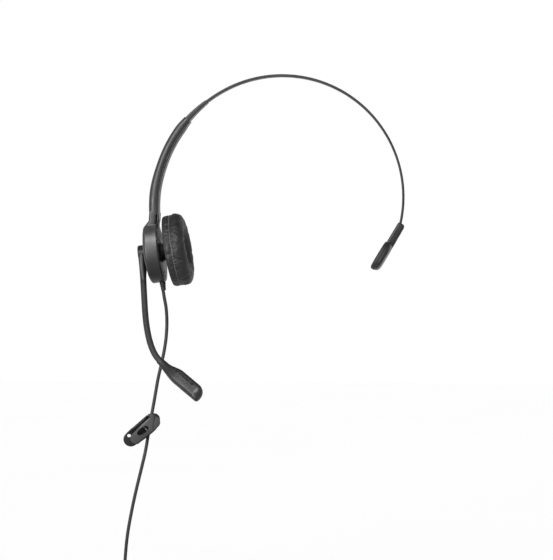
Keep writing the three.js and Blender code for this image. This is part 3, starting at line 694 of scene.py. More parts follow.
def make_cord():
    hanging = centripetal([CORD_START, *HANGING_ROUTE])
    coil = coil_route()
    entry_heights = np.linspace(HANGING_ROUTE[-1][2], COIL_CENTRE[2], 6)[1:-1]
    entry = [vec(coil[0][0], coil[0][1], z) for z in entry_heights]
    tail_heights = np.linspace(COIL_CENTRE[2], PLUG_TOP - 1.5, 10)[1:]
    tail = [vec(coil[-1][0], coil[-1][1], z) for z in tail_heights]
    route = np.array([*hanging, *entry, *coil, *tail]) * MM
    curve = bpy.data.curves.new("headset_lead", "CURVE")
    curve.dimensions = "3D"
    curve.bevel_depth = CORD_RADIUS * MM
    curve.bevel_resolution = 4
    curve.use_fill_caps = True
    spline = curve.splines.new("POLY")
    spline.points.add(len(route) - 1)
    spline.points.foreach_set("co", np.c_[route, np.ones(len(route))].ravel())
    spline.use_smooth = True
    lead = new_object("headset_lead", curve)
    return finish_piece(lead, "arm", jacket, "headset_cord", "cord_coil", "cord_tail")


# ---- headband

CROWN_CENTRE = (0, STRIP_THICK / 2 - CROWN_RADIUS)
ARM_CENTRE = (
    CROWN_CENTRE[0] - (ARM_RADIUS - CROWN_RADIUS) * math.cos(math.radians(TANGENT_ANGLE)),
    CROWN_CENTRE[1] - (ARM_RADIUS - CROWN_RADIUS) * math.sin(math.radians(TANGENT_ANGLE)),
)
TEMPLE_PIVOT = circle_point(CROWN_CENTRE, CROWN_RADIUS, TEMPLE_ANGLE)


def arc_section(centre, radius, degrees, outline):
    """An outline of (outwards, y) set across an arc."""
    x, z = polar(1, degrees)
    out = vec(x, 0, z)
    at = circle_point(centre, radius, degrees)
    return np.array([at + out * u + vec(0, v, 0) for u, v in outline])


def make_headband():
    outline = rounded_rect(STRIP_THICK, STRIP_WIDTH, 0.55)
    sections = []
    for a in np.linspace(TEMPLE_ANGLE + 1.2, TANGENT_ANGLE, 120):
        sections.append(arc_section(CROWN_CENTRE, CROWN_RADIUS, a, outline))
    for a in np.linspace(TANGENT_ANGLE, STRIP_FOOT_ANGLE, 60)[1:]:
        sections.append(arc_section(ARM_CENTRE, ARM_RADIUS, a, outline))
    strip = skin(sections)
    half = STRIP_WIDTH / 2
    across = axes(TEMPLE_PIVOT, (0, 1, 0), (0, 0, 1), (1, 0, 0))
    eye = placed(hoop(-half, half, 1.25, 2.1, 0.25), across)
    add_piece("spring_band", together(strip, eye), None, "headband", coat, "headband_spring")


# ---- temple bar


def bar_axes():
    c, s = polar(1, BAR_TILT)
    return axes(TEMPLE_PIVOT, (-c, 0, s), (0, -1, 0), (s, 0, c))


def bar_plate(height, width, radius, middle, profile):
    """A round-ended plate across the stem; its profile is (off the pin line, inset of the rim)."""
    outline = rounded_rect(width, height, radius, 10)
    sections = []
    for x, inset in profile:
        grown = outline * (1 - inset / vec(width / 2, height / 2))
        sections.append(np.array([(x, y, z + middle) for y, z in grown]))
    return skin(sections)


def make_temple_bar():
    local = bar_axes()
    stem = [(-2.5, 3.4), (-1.5, 4.9), (2.4, 4.9), (3.0, 3.6), (3.0, -13.5), (2.2, -19), (-2.7, -19)]
    stem = extruded(soften([*stem, (-2.9, -12)], 1.6, 5), -6.1, 6.1, 1.5, 6)
    edge = [(-2.75, 5.5), (-2.7, 4), (-2.5, 2.6), (-2.1, 1.5), (-1.5, 0.7), (-0.8, 0.2), (0, 0), (0.6, 0.3)]
    plate = bar_plate(BAR_HEIGHT + 2.6, BAR_LENGTH, BAR_CORNER, -23.2, edge)
    bar = make("temple_bar_shell", together(stem, plate), local)
    fuse(bar, 0.28, 5)
    room = extruded([(-5, -3.6), (5, -3.6), (5, 5.6), (-5, 5.6)], -4.3, 4.3, 0.2)
    carve(bar, room, matrix=local)
    finish_piece(bar, "temple_bar", plastic, "temple_bar_body")
    pin = rod((0, -5.8, 0), (0, 5.8, 0), 1.0, 0.2)
    add_piece("temple_hinge_pin", pin, local, "temple_bar", steel, "temple_pin")

    edge = [(0.1, 0.4), (0.5, 0.1), (1.3, 0), (2.2, 0.05), (2.9, 0.3), (3.4, 0.8), (3.65, 1.7), (3.7, 3.4)]
    plate = bar_plate(BAR_HEIGHT + 3, BAR_LENGTH - 1, BAR_CORNER, -23.4, edge)
    pad = make("temple_rubber_pad", plate, local, sharp=60)
    room = extruded([(-1, 6), (3.2, 6), (3.2, -14), (2.3, -17.3), (-1, -17.3)], -6.3, 6.3, 0.4)
    carve(pad, room, matrix=local, sharp=60)
    finish_piece(pad, "temple_bar", rubber, "temple_pad")


# ---- arm and pod

POD = leaning(POD_CENTRE, POD_TILT)


def sleeve_half(outline_at):
    """A casing swept along the arm's arc; its outline depends on how far it is from the mouth."""
    sections = []
    for a in np.linspace(SLEEVE_MOUTH_ANGLE, SLEEVE_FOOT_ANGLE, 90):
        from_mouth = (a - SLEEVE_MOUTH_ANGLE) * math.radians(1) * ARM_RADIUS
        swell = eased(from_mouth, 0, 9)
        thick, half = SLEEVE_HALF_THICK + 0.6 * swell, SLEEVE_HALF_WIDE + 0.5 * swell
        outline = outline_at(thick, half, eased(a, 160, 176))
        sections.append(arc_section(ARM_CENTRE, ARM_RADIUS, a, soften(outline, 0.35, 2)))
    return skin(sections)


PARTING = -2.2  # the casings meet near the sleeve's inner face


def outer_outline(thick, half, foot):
    """The casing's edge is one round arc from the parting line to the outer face."""
    thick = thick + foot
    start = math.radians(-40)
    reach = (thick - PARTING) / (1 - math.sin(start))
    side = []
    for a in np.linspace(start, 0.5 * math.pi, 11):
        side.append((thick - reach * (1 - math.sin(a)), half - 3.0 * (1 - math.cos(a))))
    left = [(u, -v) for u, v in reversed(side)]
    return [(PARTING, 4.8), *side, *left, (PARTING, -4.8), (1.6, -4.8), (2.3, -4.0), (2.3, 4.0), (1.6, 4.8)]


def inner_outline(thick, half, foot):
    thick = thick - 0.5 * foot
    lip, seat = PARTING + 0.7, PARTING - 0.04
    right = [(lip, 4.9), (lip, half - 1.5), (seat, half - 1.5), (seat, half - 0.8), (-thick, half - 1.3)]
    left = [(u, -v) for u, v in reversed(right)]
    return [*right, *left, (PARTING - 0.1, -4.9), (PARTING - 0.1, 4.9)]


def make_collar():
    """The tapered collar round the band where it enters the sleeve."""
    outer, inner = [], []
    for a in np.linspace(COLLAR_START_ANGLE, SLEEVE_MOUTH_ANGLE + 1, 40):
        share = (a - COLLAR_START_ANGLE) / (SLEEVE_MOUTH_ANGLE - COLLAR_START_ANGLE)
        around = rounded_rect(2 * (1.25 + 0.75 * share), 2 * (4.6 + 0.6 * share), 0.7)
        outer.append(arc_section(ARM_CENTRE, ARM_RADIUS, a, around))
        inner.append(arc_section(ARM_CENTRE, ARM_RADIUS, a, rounded_rect(2.1, 8.4, 0.5)))
    add_piece("arm_mouth_collar", skin([*outer, *inner[::-1]], loop=True), None, "arm", plastic)


NECK_TOP = -99
NECK_FOOT = -118
POD_RIM = POD_RADIUS + 0.15


def make_outer_casing():
    """The sleeve's outer half, the neck and the pod's bowl as one moulding."""
    neck = []
    for z in np.linspace(NECK_TOP, NECK_FOOT, 24):
        left = np.interp(z, [NECK_FOOT, -111.8, -106.4, NECK_TOP], [-102.9, -102.9, -98.6, -98.1])
        half = np.interp(z, [NECK_FOOT, -112, NECK_TOP], [12, 6.9, 6.5])
        right = -92.2
        ring = superellipse((right - left) / 2, half, 4.5, 64)
        neck.append(np.array([((left + right) / 2 + x, y, z) for x, y in ring]))
    back, rim = -POD_HALF, POD_RIM
    dish = [(back - 0.1, 3.4), (back - 0.1, 13.8), (back + 1.2, 20.0), (back + 1.9, 21.3), (back + 2.7, rim)]
    dish += [(5.2, rim), (5.6, rim), (5.6, rim - 0.4), (5.6, rim - 1.2), (5.6, rim - 1.6), (5.2, rim - 1.6)]
    dish += [(back + 4.2, rim - 1.6), (back + 1.6, 14.6), (back + 1.6, 3.4)]
    bowl = placed(turned(soften(dish, 0.8, 4), 160, closed=True), POD)
    parts = together(sleeve_half(outer_outline), skin(neck), bowl)
    outer = make("arm_outer_casing", parts)
    fuse(outer, 0.3, 4)
    finish_piece(outer, "arm", plastic, "arm_outer_shell")


def make_inner_casing(places):
    """The sleeve's inner half and the pod's cover, with a room for each screw."""
    inner_neck = [(-91.7, -100), (-90.6, -100), (-90.8, -105), (-91.5, -109), (-91.3, -113), (-92.6, -113)]
    neck = extruded(soften(inner_neck, 0.5, 4), -6.2, 6.2, 0.6, 4)
    lid, rim, boss = POD_HALF, POD_RIM, BALL_OUT + 1.6
    plate = [(4.9, 3.0), (4.3, 3.0), (4.3, rim - 1.2), (5.65, rim - 1.2), (5.65, rim - 0.3)]
    plate += [(lid - 0.1, rim - 0.3), (lid, rim - 0.7)]
    plate += [(lid, 7.4), (boss, 6.0), (boss, 3.5), (BALL_OUT, 3.75)]
    cover = placed(turned(soften(plate, 0.3, 3), 160, closed=True), POD)
    parts = together(sleeve_half(inner_outline), neck, cover)
    inner = make("arm_inner_casing", parts)
    fuse(inner, 0.3, 2)
    rooms = [rod((lid - 0.8, y, z), (lid + 3, y, z), 2.2, 0.05) for y, z in places]
    carve(inner, *rooms, matrix=POD)
    finish_piece(inner, "arm", plastic, "arm_inner_shell")


def make_casing_screws(places):
    """Domed heads with a cross slot."""
    dome = soften([(0, 0), (0, 1.9), (0.35, 1.75), (0.6, 0.9), (0.65, 0)], 0.2, 3, closed=False)
    low, high = POD_HALF - 0.45, POD_HALF + 1
    for i, (y, z) in enumerate(places):
        points, faces = turned(dome, 32)
        screw = make(f"casing_screw_{i + 1}", (points + vec(POD_HALF - 0.75, y, z), faces), POD)
        slots = []
        for sy, sz in ((2.0, 0.45), (0.45, 2.0)):
            corners = [(low, z - sz / 2), (high, z - sz / 2), (high, z + sz / 2), (low, z + sz / 2)]
            slots.append(extruded(corners, y - sy / 2, y + sy / 2, 0.05, 2))
        carve(screw, *slots, matrix=POD)
        finish_piece(screw, "arm", steel, f"pod_screw_{i + 1}")


def make_arm():
    screw_places = [polar(SCREW_CIRCLE, a) for a in SCREW_ANGLES]
    make_outer_casing()
    make_inner_casing(screw_places)
    make_collar()
    make_casing_screws(screw_places)


def make_strain_relief():
    """A stubby ribbed bush on the pod's foot."""
    profile = [(-17.6, 0), (-17.6, 2.5), (-21.6, 2.5)]
    for i in range(3):
        x = -21.9 - i * 1.75
        r = 2.42 - i * 0.2
        profile += [(x, r), (x - 0.1, r - 0.32), (x - 0.55, r - 0.34)]
        profile += [(x - 0.65, r - 0.05), (x - 1.5, r - 0.16)]
    profile += [(-27.9, 1.75), (-28.1, 1.45), (-28.1, 0)]
    upright = reordered(turned(soften(profile, 0.14, 3, closed=False), 48), 1, 2, 0, shift=(3.3, 0, 0))
    return add_piece("cord_bush", upright, POD, "arm", rubber, "strain_relief")


# ---- ear cup

BALL = moved([(BALL_OUT, 0, 0)], POD)[0]
CUP = leaning(BALL, CUP_TILT)


def cushion_profile():
    """The foam ring's section as (along, radius), from the back rim outwards and round to the hole."""
    b, f = CUSHION_BACK, CUSHION_BACK + CUSHION_THICK
    r, hole = COVER_RADIUS, CUSHION_HOLE
    skirt = SHELL_RADIUS + 0.4
    corners = [(b + 0.4, skirt), (b, r - 2.6), (b + 0.5, r - 1.1), (b + 3.0, r - 0.6), (b + SEAM_AT, r - 1.1)]
    corners += [(b + 8.4, r + 0.1), (b + 11.6, r - 0.9), (f - 1.6, r - 4.2), (f - 0.5, r - 7.6)]
    corners += [(f - 0.6, hole + 5), (f - 2.2, hole + 1.6), (f - 4.4, hole + 0.5), (b + 10.5, hole + 0.3)]
    return [*corners, (b + 10.5, skirt - 4), (b + 10.5, skirt)]


def dense(profile, step):
    """Splits long sides of a closed profile, so its points are about a step apart."""
    out = []
    for i, p in enumerate(profile):
        q = profile[(i + 1) % len(profile)]
        count = max(1, round(math.dist(p, q) / step))
        for k in range(count):
            out.append(tuple(a + (c - a) * k / count for a, c in zip(p, q)))
    return out


CLOTH = dict(quality=6, mass=0.4, tension_stiffness=12, compression_stiffness=12, shear_stiffness=6)
CLOTH |= dict(bending_stiffness=0.4, vertex_group_mass="held", pin_stiffness=1, shrink_min=-0.05)
CLOTH |= dict(use_pressure=True, uniform_pressure_force=4)
SOLVER_SCALE = 20  # the solver behaves better on a piece about a metre wide
LAST_FRAME = 20
FARTHEST = 1.1  # how far the pressure may push a point


def inflated(points, faces, held):
    """The cover's points after a cloth run under pressure, with the held ones pinned."""
    work = make("ear_cushion_cover", (points * SOLVER_SCALE, faces))
    if len(work.data.vertices) == len(points):
        group = work.vertex_groups.new(name="held")
        group.add([int(i) for i in np.nonzero(held)[0]], 1.0, "REPLACE")
        cloth = work.modifiers.new("Cloth", "CLOTH")
        for key, value in CLOTH.items():
            setattr(cloth.settings, key, value)
        cloth.settings.effector_weights.gravity = 0
        cloth.collision_settings.use_collision = False
        cloth.point_cache.frame_start = 1
        cloth.point_cache.frame_end = LAST_FRAME
        for step in range(1, LAST_FRAME + 1):
            bpy.context.scene.frame_set(step)
        graph = bpy.context.evaluated_depsgraph_get()
        swollen = work.evaluated_get(graph).to_mesh()
        after = np.array([v.co[:] for v in swollen.vertices]) / (MM * SOLVER_SCALE)
        bpy.context.scene.frame_set(1)
        work.modifiers.clear()
        shift = after - points
        size = np.linalg.norm(shift, axis=1)
        points = points + shift * np.minimum(1, FARTHEST / np.maximum(size, 1e-9))[:, None]
    bpy.data.objects.remove(work)
    return points


def make_cushion():
    profile = dense([tuple(p) for p in soften(cushion_profile(), 1.6, 3)], 0.9)
    points, faces = turned(profile, 168, closed=True)
    x, radius = points[:, 0], np.hypot(points[:, 1], points[:, 2])
    seam_x = CUSHION_BACK + SEAM_AT
    held = (radius < SHELL_RADIUS + 1.2) & (x < CUSHION_BACK + 10.9)
    held |= (np.abs(x - seam_x) < 0.5) & (radius > COVER_RADIUS - 3.4)
    held |= (x < CUSHION_BACK + 0.9) & (radius > COVER_RADIUS - 3.4)
    # A little unevenness first, so the cover creases where it has spare cloth.
    turn = np.arctan2(points[:, 2], points[:, 1])
    for i, (a, r, along) in enumerate(zip(turn, radius, x)):
        if held[i]:
            continue
        wave = noise.noise(Vector((3.2 * math.cos(a), 3.2 * math.sin(a), along * 0.22)))
        ripple = noise.noise(Vector((13 * math.cos(a), 13 * math.sin(a), along * 0.30 + 5)))
        push = 0.30 * wave + 0.24 * ripple
        points[i, 1:] *= (r + push) / r
        points[i, 0] += 0.4 * push
    points = inflated(points, faces, held)
    cushion = make("ear_cushion_cover", (points, faces), CUP, sharp=70)
    with_modifier(cushion, "SUBSURF", levels=1, render_levels=1)
    cushion.data.shade_smooth()
    finish_piece(cushion, "ear_cup", leatherette, "ear_cushion")


def make_stitching():
    """One thread stitch after another along the seam."""
    seam_x, radius = CUSHION_BACK + SEAM_AT, COVER_RADIUS - 0.95
    swell = [0.13, 0.21, 0.25, 0.26, 0.25, 0.21, 0.13]
    stitches = []
    for i in range(STITCHES):
        middle = 2 * math.pi * i / STITCHES
        span = 0.62 * math.pi / STITCHES
        line = []
        for k in range(7):
            share = k / 6 - 0.5
            a = middle + share * 2 * span
            r = radius + 0.28 * math.cos(math.pi * share)
            line.append((seam_x + 0.12 * share, r * math.cos(a), r * math.sin(a)))
        stitches.append(tube(line, swell, across=(1, 0, 0), count=8))
    # The stitches' pale thread colour is partly painted highlight for the glints on the seam's wrinkles.
    add_piece("cushion_stitching", together(*stitches), CUP, "ear_cup", thread, sharp=80)


def make_welt():
    """The welted edge behind the seam."""
    welt = []
    for k in range(12):
        a = 2 * math.pi * k / 12
        welt.append((CUSHION_BACK + 0.6 + 0.45 * math.cos(a), COVER_RADIUS - 1.5 + 0.45 * math.sin(a)))
    add_piece("cushion_welt", turned(welt, 144, closed=True), CUP, "ear_cup", leatherette)


def make_cup():
    b, r = CUSHION_BACK, SHELL_RADIUS
    shell = [(b - 0.3, 3.7), (b - 0.3, 15), (b + 0.6, 19), (b + 2.4, r), (b + 8.6, r), (b + 8.6, r - 1.4)]
    shell += [(b + 2.8, r - 1.4), (b + 1.8, 18), (b + 1.2, 14.5), (b + 1.2, 3.7)]
    back = turned(soften(shell, 0.6, 4), 128, closed=True)
    add_piece("speaker_housing", back, CUP, "ear_cup", dark_plastic, "speaker_back_shell")

    liner = []
    for radius, angles in ((3.5, range(55, 141, 5)), (2.65, range(140, 54, -5))):
        liner += [polar(radius, a) for a in angles]
    bush = turned([(-x, y) for x, y in liner], 48, closed=True)
    add_piece("ball_bush", bush, CUP, "ball_liner", dark_plastic, "ball_liner")

    ball = [(-x, y) for x, y in (polar(2.4, a) for a in range(0, 156, 5))]
    foot = [(b - 0.6, 1.1), (b - 0.6, 3.4), (b + 0.6, 3.4), (b + 0.6, 0)]
    add_piece("ball_pin", turned([*ball, *foot], 48), CUP, "ear_cup", steel, "ball_stud")


def make_speaker():
    d = CUSHION_BACK + 2.4
    magnet = hoop(d, d + 2.2, 1, 6.4, 0.35, segments=64)
    add_piece("speaker_magnet_ring", magnet, CUP, "ear_cup", steel, "speaker_magnet")
    basket = [(d + 0.8, 6.7), (d + 0.8, 12), (d + 3, 16.5), (d + 4.6, 18.8), (d + 5.6, 18.8), (d + 5.6, 17)]
    basket += [(d + 4, 15.4), (d + 1.9, 11.4), (d + 1.9, 6.7)]
    basket = turned(soften(basket, 0.5, 3), 96, closed=True)
    add_piece("speaker_frame", basket, CUP, "ear_cup", dark_plastic, "speaker_basket")
    cone = [(d + 3.9, 0), (d + 3.6, 4), (d + 2.9, 6.5), (d + 4.3, 10.5), (d + 5.1, 15.6)]
    cone += [(d + 5.5, 15.6), (d + 4.7, 10.5), (d + 3.3, 6.7), (d + 4.0, 4.2), (d + 4.3, 0)]
    cone = turned(soften(cone, 0.9, 4, closed=False), 96)
    add_piece("speaker_cone", cone, CUP, "ear_cup", film, "speaker_diaphragm")

    g, r, hole = CUSHION_BACK + 9, SHELL_RADIUS, GRILLE_HOLE
    rim = [(g, hole), (g, r), (g + 1.2, r), (g + 1.2, hole + 0.5), (g + 0.9, hole)]
    bars = []
    for i in range(-3, 3):
        z = (i + 0.5) * GRILLE_PITCH
        half = math.sqrt((hole + 0.2) ** 2 - z * z)
        bars.append(extruded(rounded_rect(0.9, 2.0, 0.2, 2) + vec(g + 0.45, z), -half, half, 0.1, 2))
    grille = together(turned(soften(rim, 0.2, 3), 96, closed=True), *bars)
    add_piece("speaker_grille_plate", grille, CUP, "ear_cup", dark_plastic, "speaker_grille")


# ---- boom and microphone


def boom_point(along, inwards, aside=0):
    """A point of the boom in the pod's axes."""
    c, s = polar(1, BOOM_ANGLE)
    return vec(inwards, -along * s + aside * c, -along * c - aside * s)


BEND = (boom_point(STALK_END, BOOM_PLANE), boom_point(FLEX_CORNER, BOOM_PLANE), boom_point(*MIC_START))
ASIDE = boom_point(0, 0, 1)


def bend_at(t):
    a, b, c = BEND
    return (1 - t) ** 2 * a + 2 * t * (1 - t) * b + t * t * c


def bend_tangent(t):
    a, b, c = BEND
    return unit(2 * (1 - t) * (b - a) + 2 * t * (c - b))


MIC = POD @ axes(bend_at(1), bend_tangent(1), ASIDE, np.cross(bend_tangent(1), ASIDE))


HUB_TOP = -POD_HALF - 0.3
HUB_FACE = HUB_TOP - HUB_THICK


def make_hub():
    """A drum with a teardrop blade that narrows into the tube's root."""
    top, face, socket = HUB_TOP, HUB_FACE, -POD_HALF + 2.6
    hub = [(face, 0), (face, HUB_RADIUS), (top, HUB_RADIUS), (top, 3), (socket, 3), (socket, 0)]
    hub = soften(hub, 0.8, 5, closed=False)
    root = [boom_point(a, BOOM_PLANE) for a in np.linspace(1, 26, 18)]
    root_tube = tube(root, BOOM_RADIUS + 0.05, across=ASIDE)
    blade = []
    for along in np.linspace(0, 24, 20):
        share = eased(along, 2, 24)
        wide = HUB_RADIUS - 0.2 + (BOOM_RADIUS - HUB_RADIUS + 0.2) * share
        thick = HUB_THICK / 2 + (BOOM_RADIUS - HUB_THICK / 2) * share
        middle = (face + top) / 2 + (BOOM_PLANE - (face + top) / 2) * share
        ring = superellipse(thick, wide, 4 - 2 * share, 48)
        blade.append(np.array([boom_point(along, middle + u, v) for u, v in ring]))
    hub_piece = make("boom_hub_body", together(turned(hub, 72), root_tube, skin(blade)), POD)
    fuse(hub_piece, 0.3, 3)
    carve(hub_piece, rod((face - 2, 0, 0), (face + 0.8, 0, 0), 5.2, 0.05), matrix=POD)
    finish_piece(hub_piece, "boom", plastic, "boom_hub")


def make_hub_fixings():
    """The hub's cover, and the washer and pivot screw that hold it to the pod."""
    face = HUB_FACE
    dome = [(face - 0.05, 0), (face, 4.4), (face + 0.35, 5.0), (face + 1.0, 5.0), (face + 1.0, 0)]
    cap = turned(soften(dome, 0.3, 4, closed=False), 64)
    add_piece("boom_hub_cover", cap, POD, "boom", dark_plastic, "boom_hub_cap")
    washer_at = -POD_HALF + 2.9
    washer = hoop(washer_at, washer_at + 0.5, 1.1, 5.6, 0.15, 2)
    add_piece("boom_friction_washer", washer, POD, "boom", steel, "boom_spring_washer")
    shank = rod((-POD_HALF - 1.2, 0, 0), (washer_at + 1, 0, 0), 0.8)
    head = rod((washer_at + 0.8, 0, 0), (washer_at + 1.6, 0, 0), 2.1)
    add_piece("boom_pivot_screw", together(shank, head), POD, "boom", steel, "boom_screw")


def make_boom_tube():
    """The tube from the hub to the microphone; it is attached to no body."""
    centres = [boom_point(a, BOOM_PLANE) for a in np.linspace(22, STALK_END, 26)[:-1]]
    centres += [bend_at(t) for t in np.linspace(0, 0.985, 90)]
    stalk = make("boom_tube", tube(centres, BOOM_RADIUS - 0.02, across=ASIDE, count=40), POD)
    finish_piece(stalk, None, rubber, "boom_flex", "boom_tip_stub")
    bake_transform(stalk)


def mic_section(x):
    """Half depth, lower edge, upper edge and squareness of the microphone's housing at a place along it."""
    neck = BOOM_RADIUS + 0.15
    upper = neck + (MIC_WIDTH / 2 - neck) * eased(x, 7, 20)
    lower = -neck - (MIC_WIDTH / 2 + 1.3 - neck) * eased(x, -5, 20)
    half_y = neck + (MIC_DEPTH / 2 - neck) * eased(x, 1, 20)
    round_up, round_low, bevel = 6.6, 1.4, 5.5
    past_up = min(max((x - MIC_LENGTH + round_up) / round_up, 0), 1)
    past_low = min(max((x - MIC_LENGTH + round_low) / round_low, 0), 1)
    past_bevel = min(max((x - MIC_LENGTH + bevel) / bevel, 0), 1)
    upper -= round_up * (1 - math.sqrt(1 - past_up**2))
    lower += round_low * (1 - math.sqrt(1 - past_low**2))
    half_y *= 1 - 0.5 * past_bevel**2
    return half_y, lower, upper, 2 + 1.5 * eased(x, 4, 18)


def mic_half(side):
    """Half of the microphone's housing: side -1 faces forward and +1 is the back."""
    sections = []
    near_tip = MIC_LENGTH - 7 * np.cos(np.linspace(0, 0.5 * math.pi, 30))[1:]
    for x in np.concatenate([np.linspace(-1.2, 36, 150), near_tip]):
        half_y, lower, upper, power = mic_section(min(x, MIC_LENGTH - 0.02))
        section = []
        for turn in np.linspace(-0.5 * math.pi, 0.5 * math.pi, 61):
            c, sn = math.cos(turn), math.sin(turn)
            y = half_y * max(c, 0) ** (2 / power)
            z = (upper + lower) / 2 + (upper - lower) / 2 * math.copysign(abs(sn) ** (2 / power), sn)
            section.append((x, side * max(y, 0.05), z))
        sections.append(np.array(section))
    return skin(sections)


def make_mic_housing():
    """Two halves; the front one has a notch, a slot and a fine line."""
    front = make("mic_housing_front", mic_half(-1), MIC, sharp=55)
    notch = boxed(21, -1.5, -6.2, 2.0, 0.9, 1.6, 0.2)
    slot = extruded(rounded_rect(18, 1.3, 0.6, 4) + vec(25.4, 0.9), -6, -2.4, 0.05, 2)
    line = extruded(rounded_rect(16, 0.4, 0.15, 3) + vec(26, -1.3), -6, -3.75, 0.05, 2)
    carve(front, notch, slot, line, matrix=MIC, sharp=55)
    finish_piece(front, "mic_boom", plastic, "mic_front_shell")
    add_piece("mic_housing_back", mic_half(1), MIC, "mic_boom", plastic, "mic_back_shell", sharp=55)


def make_mic_capsule():
    at = MIC_LENGTH - 9
    capsule = rod((at, -0.9, 0), (at, 0.9, 0), 2.2, 0.2)
    add_piece("mic_capsule_can", capsule, MIC, "mic_boom", steel, "mic_capsule")
    boot = reordered(hoop(-1.1, 1.1, 2.4, 2.9, 0.15, 2, 40), 1, 0, 2, shift=(at, 0, 0))
    add_piece("mic_capsule_boot", boot, MIC, "mic_boom", rubber, "mic_boot")


def make_port_screen():
    """The port's oval screen follows the bevelled front of the tip."""
    rings = []
    for grow, out in ((1.0, -0.3), (1.0, 0.04), (0.86, 0.12), (0.5, 0.16), (0.05, 0.17)):
        ring = []
        for turn in np.arange(36) * 2 * math.pi / 36:
            x = MIC_LENGTH - 4.4 + 1.15 * grow * math.cos(turn)
            z = -1.0 + 1.9 * grow * math.sin(turn)
            half_y, lower, upper, power = mic_section(x)
            across = (z - (upper + lower) / 2) / ((upper - lower) / 2)
            ring.append((x, -out - half_y * (1 - abs(across) ** power) ** (1 / power), z))
        rings.append(np.array(ring))
    add_piece("mic_port_screen", skin(rings), MIC, "mic_boom", screen_cloth)


# ---- clothing clip


def clip_axes():
    c, s = polar(1, CLIP_SLOPE)
    along, down = vec(-c, 0, -s), vec(s, 0, -c)
    c, s = polar(1, CLIP_ROLL)
    back = vec(0, c, 0) - down * s
    pin = vec(*CLIP_AT) + along * CLIP_STUD - back * CLIP_HOLD
    return axes(pin, along, back, np.cross(along, back))


CLIP = clip_axes()


def make_rear_jaw():
    """A plate with a round end each way and a wall along each side."""
    outline = []
    for a in range(90, 271, 10):
        x, z = polar(4.6, a)
        outline.append((x - 8.5, z))
    outline.append((9, -6))
    for a in range(-80, 81, 10):
        x, z = polar(5.6, a)
        outline.append((x + 14.2, z))
    outline.append((9, 6))
    walls = []
    for side in (-1, 1):
        wall = soften([(-5.5, -1.8), (2.2, -1.8), (13, 1.6), (13.5, 3.6), (-7.5, 3.6)], 1.0, 4)
        walls.append(reordered(extruded(wall, side * 5.5 - 0.4, side * 5.5 + 0.4, 0.2, 2), 0, 2, 1))
    jaw = make("clip_rear_jaw", together(extruded(outline, 2.6, 4.2, 0.5, 3), *walls), CLIP)
    carve(jaw, rod((13.4, 0, -3.0), (13.4, 6, -3.0), 1.4, 0.05), matrix=CLIP)
    return finish_piece(jaw, "clip", dark_plastic, "clip_back_jaw")


def make_clip_spring():
    """The hinge pin and the coil spring on it."""
    pin = rod((0, 0, -5.9), (0, 0, 5.9), 1.0, 0.2)
    helix = []
    for a in np.linspace(0, 5 * 2 * math.pi, 120):
        helix.append((1.6 * math.cos(a), 1.6 * math.sin(a), -2.1 + 4.2 * a / (10 * math.pi)))
    coil = tube(helix, 0.3, across=(0, 0, 1), count=8)
    return [
        add_piece("clip_hinge_pin", pin, CLIP, "clip", blued, "clip_pin"),
        add_piece("clip_wire_spring", coil, CLIP, "clip", blued, "clip_spring"),
    ]


def make_front_jaw():
    """A thumb plate that sweeps down to the gripping tip."""
    thumb, tip = -12.7, 14.9
    stations = []
    for x in np.linspace(thumb, tip, 72):
        top = np.interp(x, [thumb, -6, 3, 9, 14.6, tip], [-4.5, -4.9, -4.2, -2.4, 0.4, 1.4])
        low = np.interp(x, [thumb, -5, 2, 8, 13.4, tip], [-3.0, -3.2, -2.3, 0.6, 2.1, 2.2])
        wide = np.interp(x, [thumb, -5, 4, tip], [4.6, 4.9, 4.4, 3.7])
        aside = np.interp(x, [thumb, 2, tip], [0, 0, 1.4])
        end = min(x - thumb, tip - x)
        half = wide * math.sqrt(max(1 - (1 - min(end / 4.0, 1)) ** 2, 0.03))
        middle, thick = (top + low) / 2, max((low - top) / 2, 0.35)
        ring = superellipse(thick, half, 3.2, 48)
        stations.append(np.array([(x, middle + y - 0.012 * (half**2 - z * z), z + aside) for y, z in ring]))
    front = make("clip_front_plate", skin(stations), CLIP, sharp=50)
    window = superellipse(4.9, 2.5, 2.3, 48) + vec(2.2, -0.6)
    carve(front, extruded(window, -8, 3, 0.3, 2), matrix=CLIP)
    # A raised channel crosses the thumb end in line with the cord.
    c, sn = polar(1, CHANNEL_TURN)
    flat = rounded_rect(13.2, 3.3, 1.5) @ np.array([(c, sn), (-sn, c)]) + vec(-6.6, -1.0)
    channel = extruded(flat, -5.75, -4.2, 0.7, 4)
    knuckles = []
    for side in (-1, 1):
        knuckle = hoop(side * 3.4 - 0.7, side * 3.4 + 0.7, 1.3, 2.2, 0.15, 2, 32)
        knuckles.append(reordered(knuckle, 1, 2, 0))
    detail = add_piece("clip_knuckles", together(channel, *knuckles), CLIP, "clip_jaw", grey_plastic)
    finish_piece(front, "clip_jaw", grey_plastic, "clip_front_jaw")
    return [front, detail]


def make_clip_holder():
    """The sleeve on the cord and the stud that the clip turns on."""
    at, back = vec(*CLIP_AT), CLIP[:3, 1]
    along = unit(vec(0.178, 0, 0.984))
    side = unit(np.cross(along, vec(0, 1, 0)))
    sleeve = placed(hoop(-4.5, 4.5, 1.35, 2.6, 0.5, segments=40), axes(CLIP_AT, along, vec(0, 1, 0), side))
    stud = rod(at - back * 1.6, at - back * 6.7, 1.5)
    head = rod(at - back * 5.7, at - back * 6.7, 2.4)
    holder = together(sleeve, stud, head)
    return add_piece("clip_cord_sleeve", holder, None, "arm", dark_plastic, "clip_cable_holder")


def make_clip():
    return [make_rear_jaw(), *make_clip_spring(), *make_front_jaw(), make_clip_holder()]


# ---- coil tie and plug


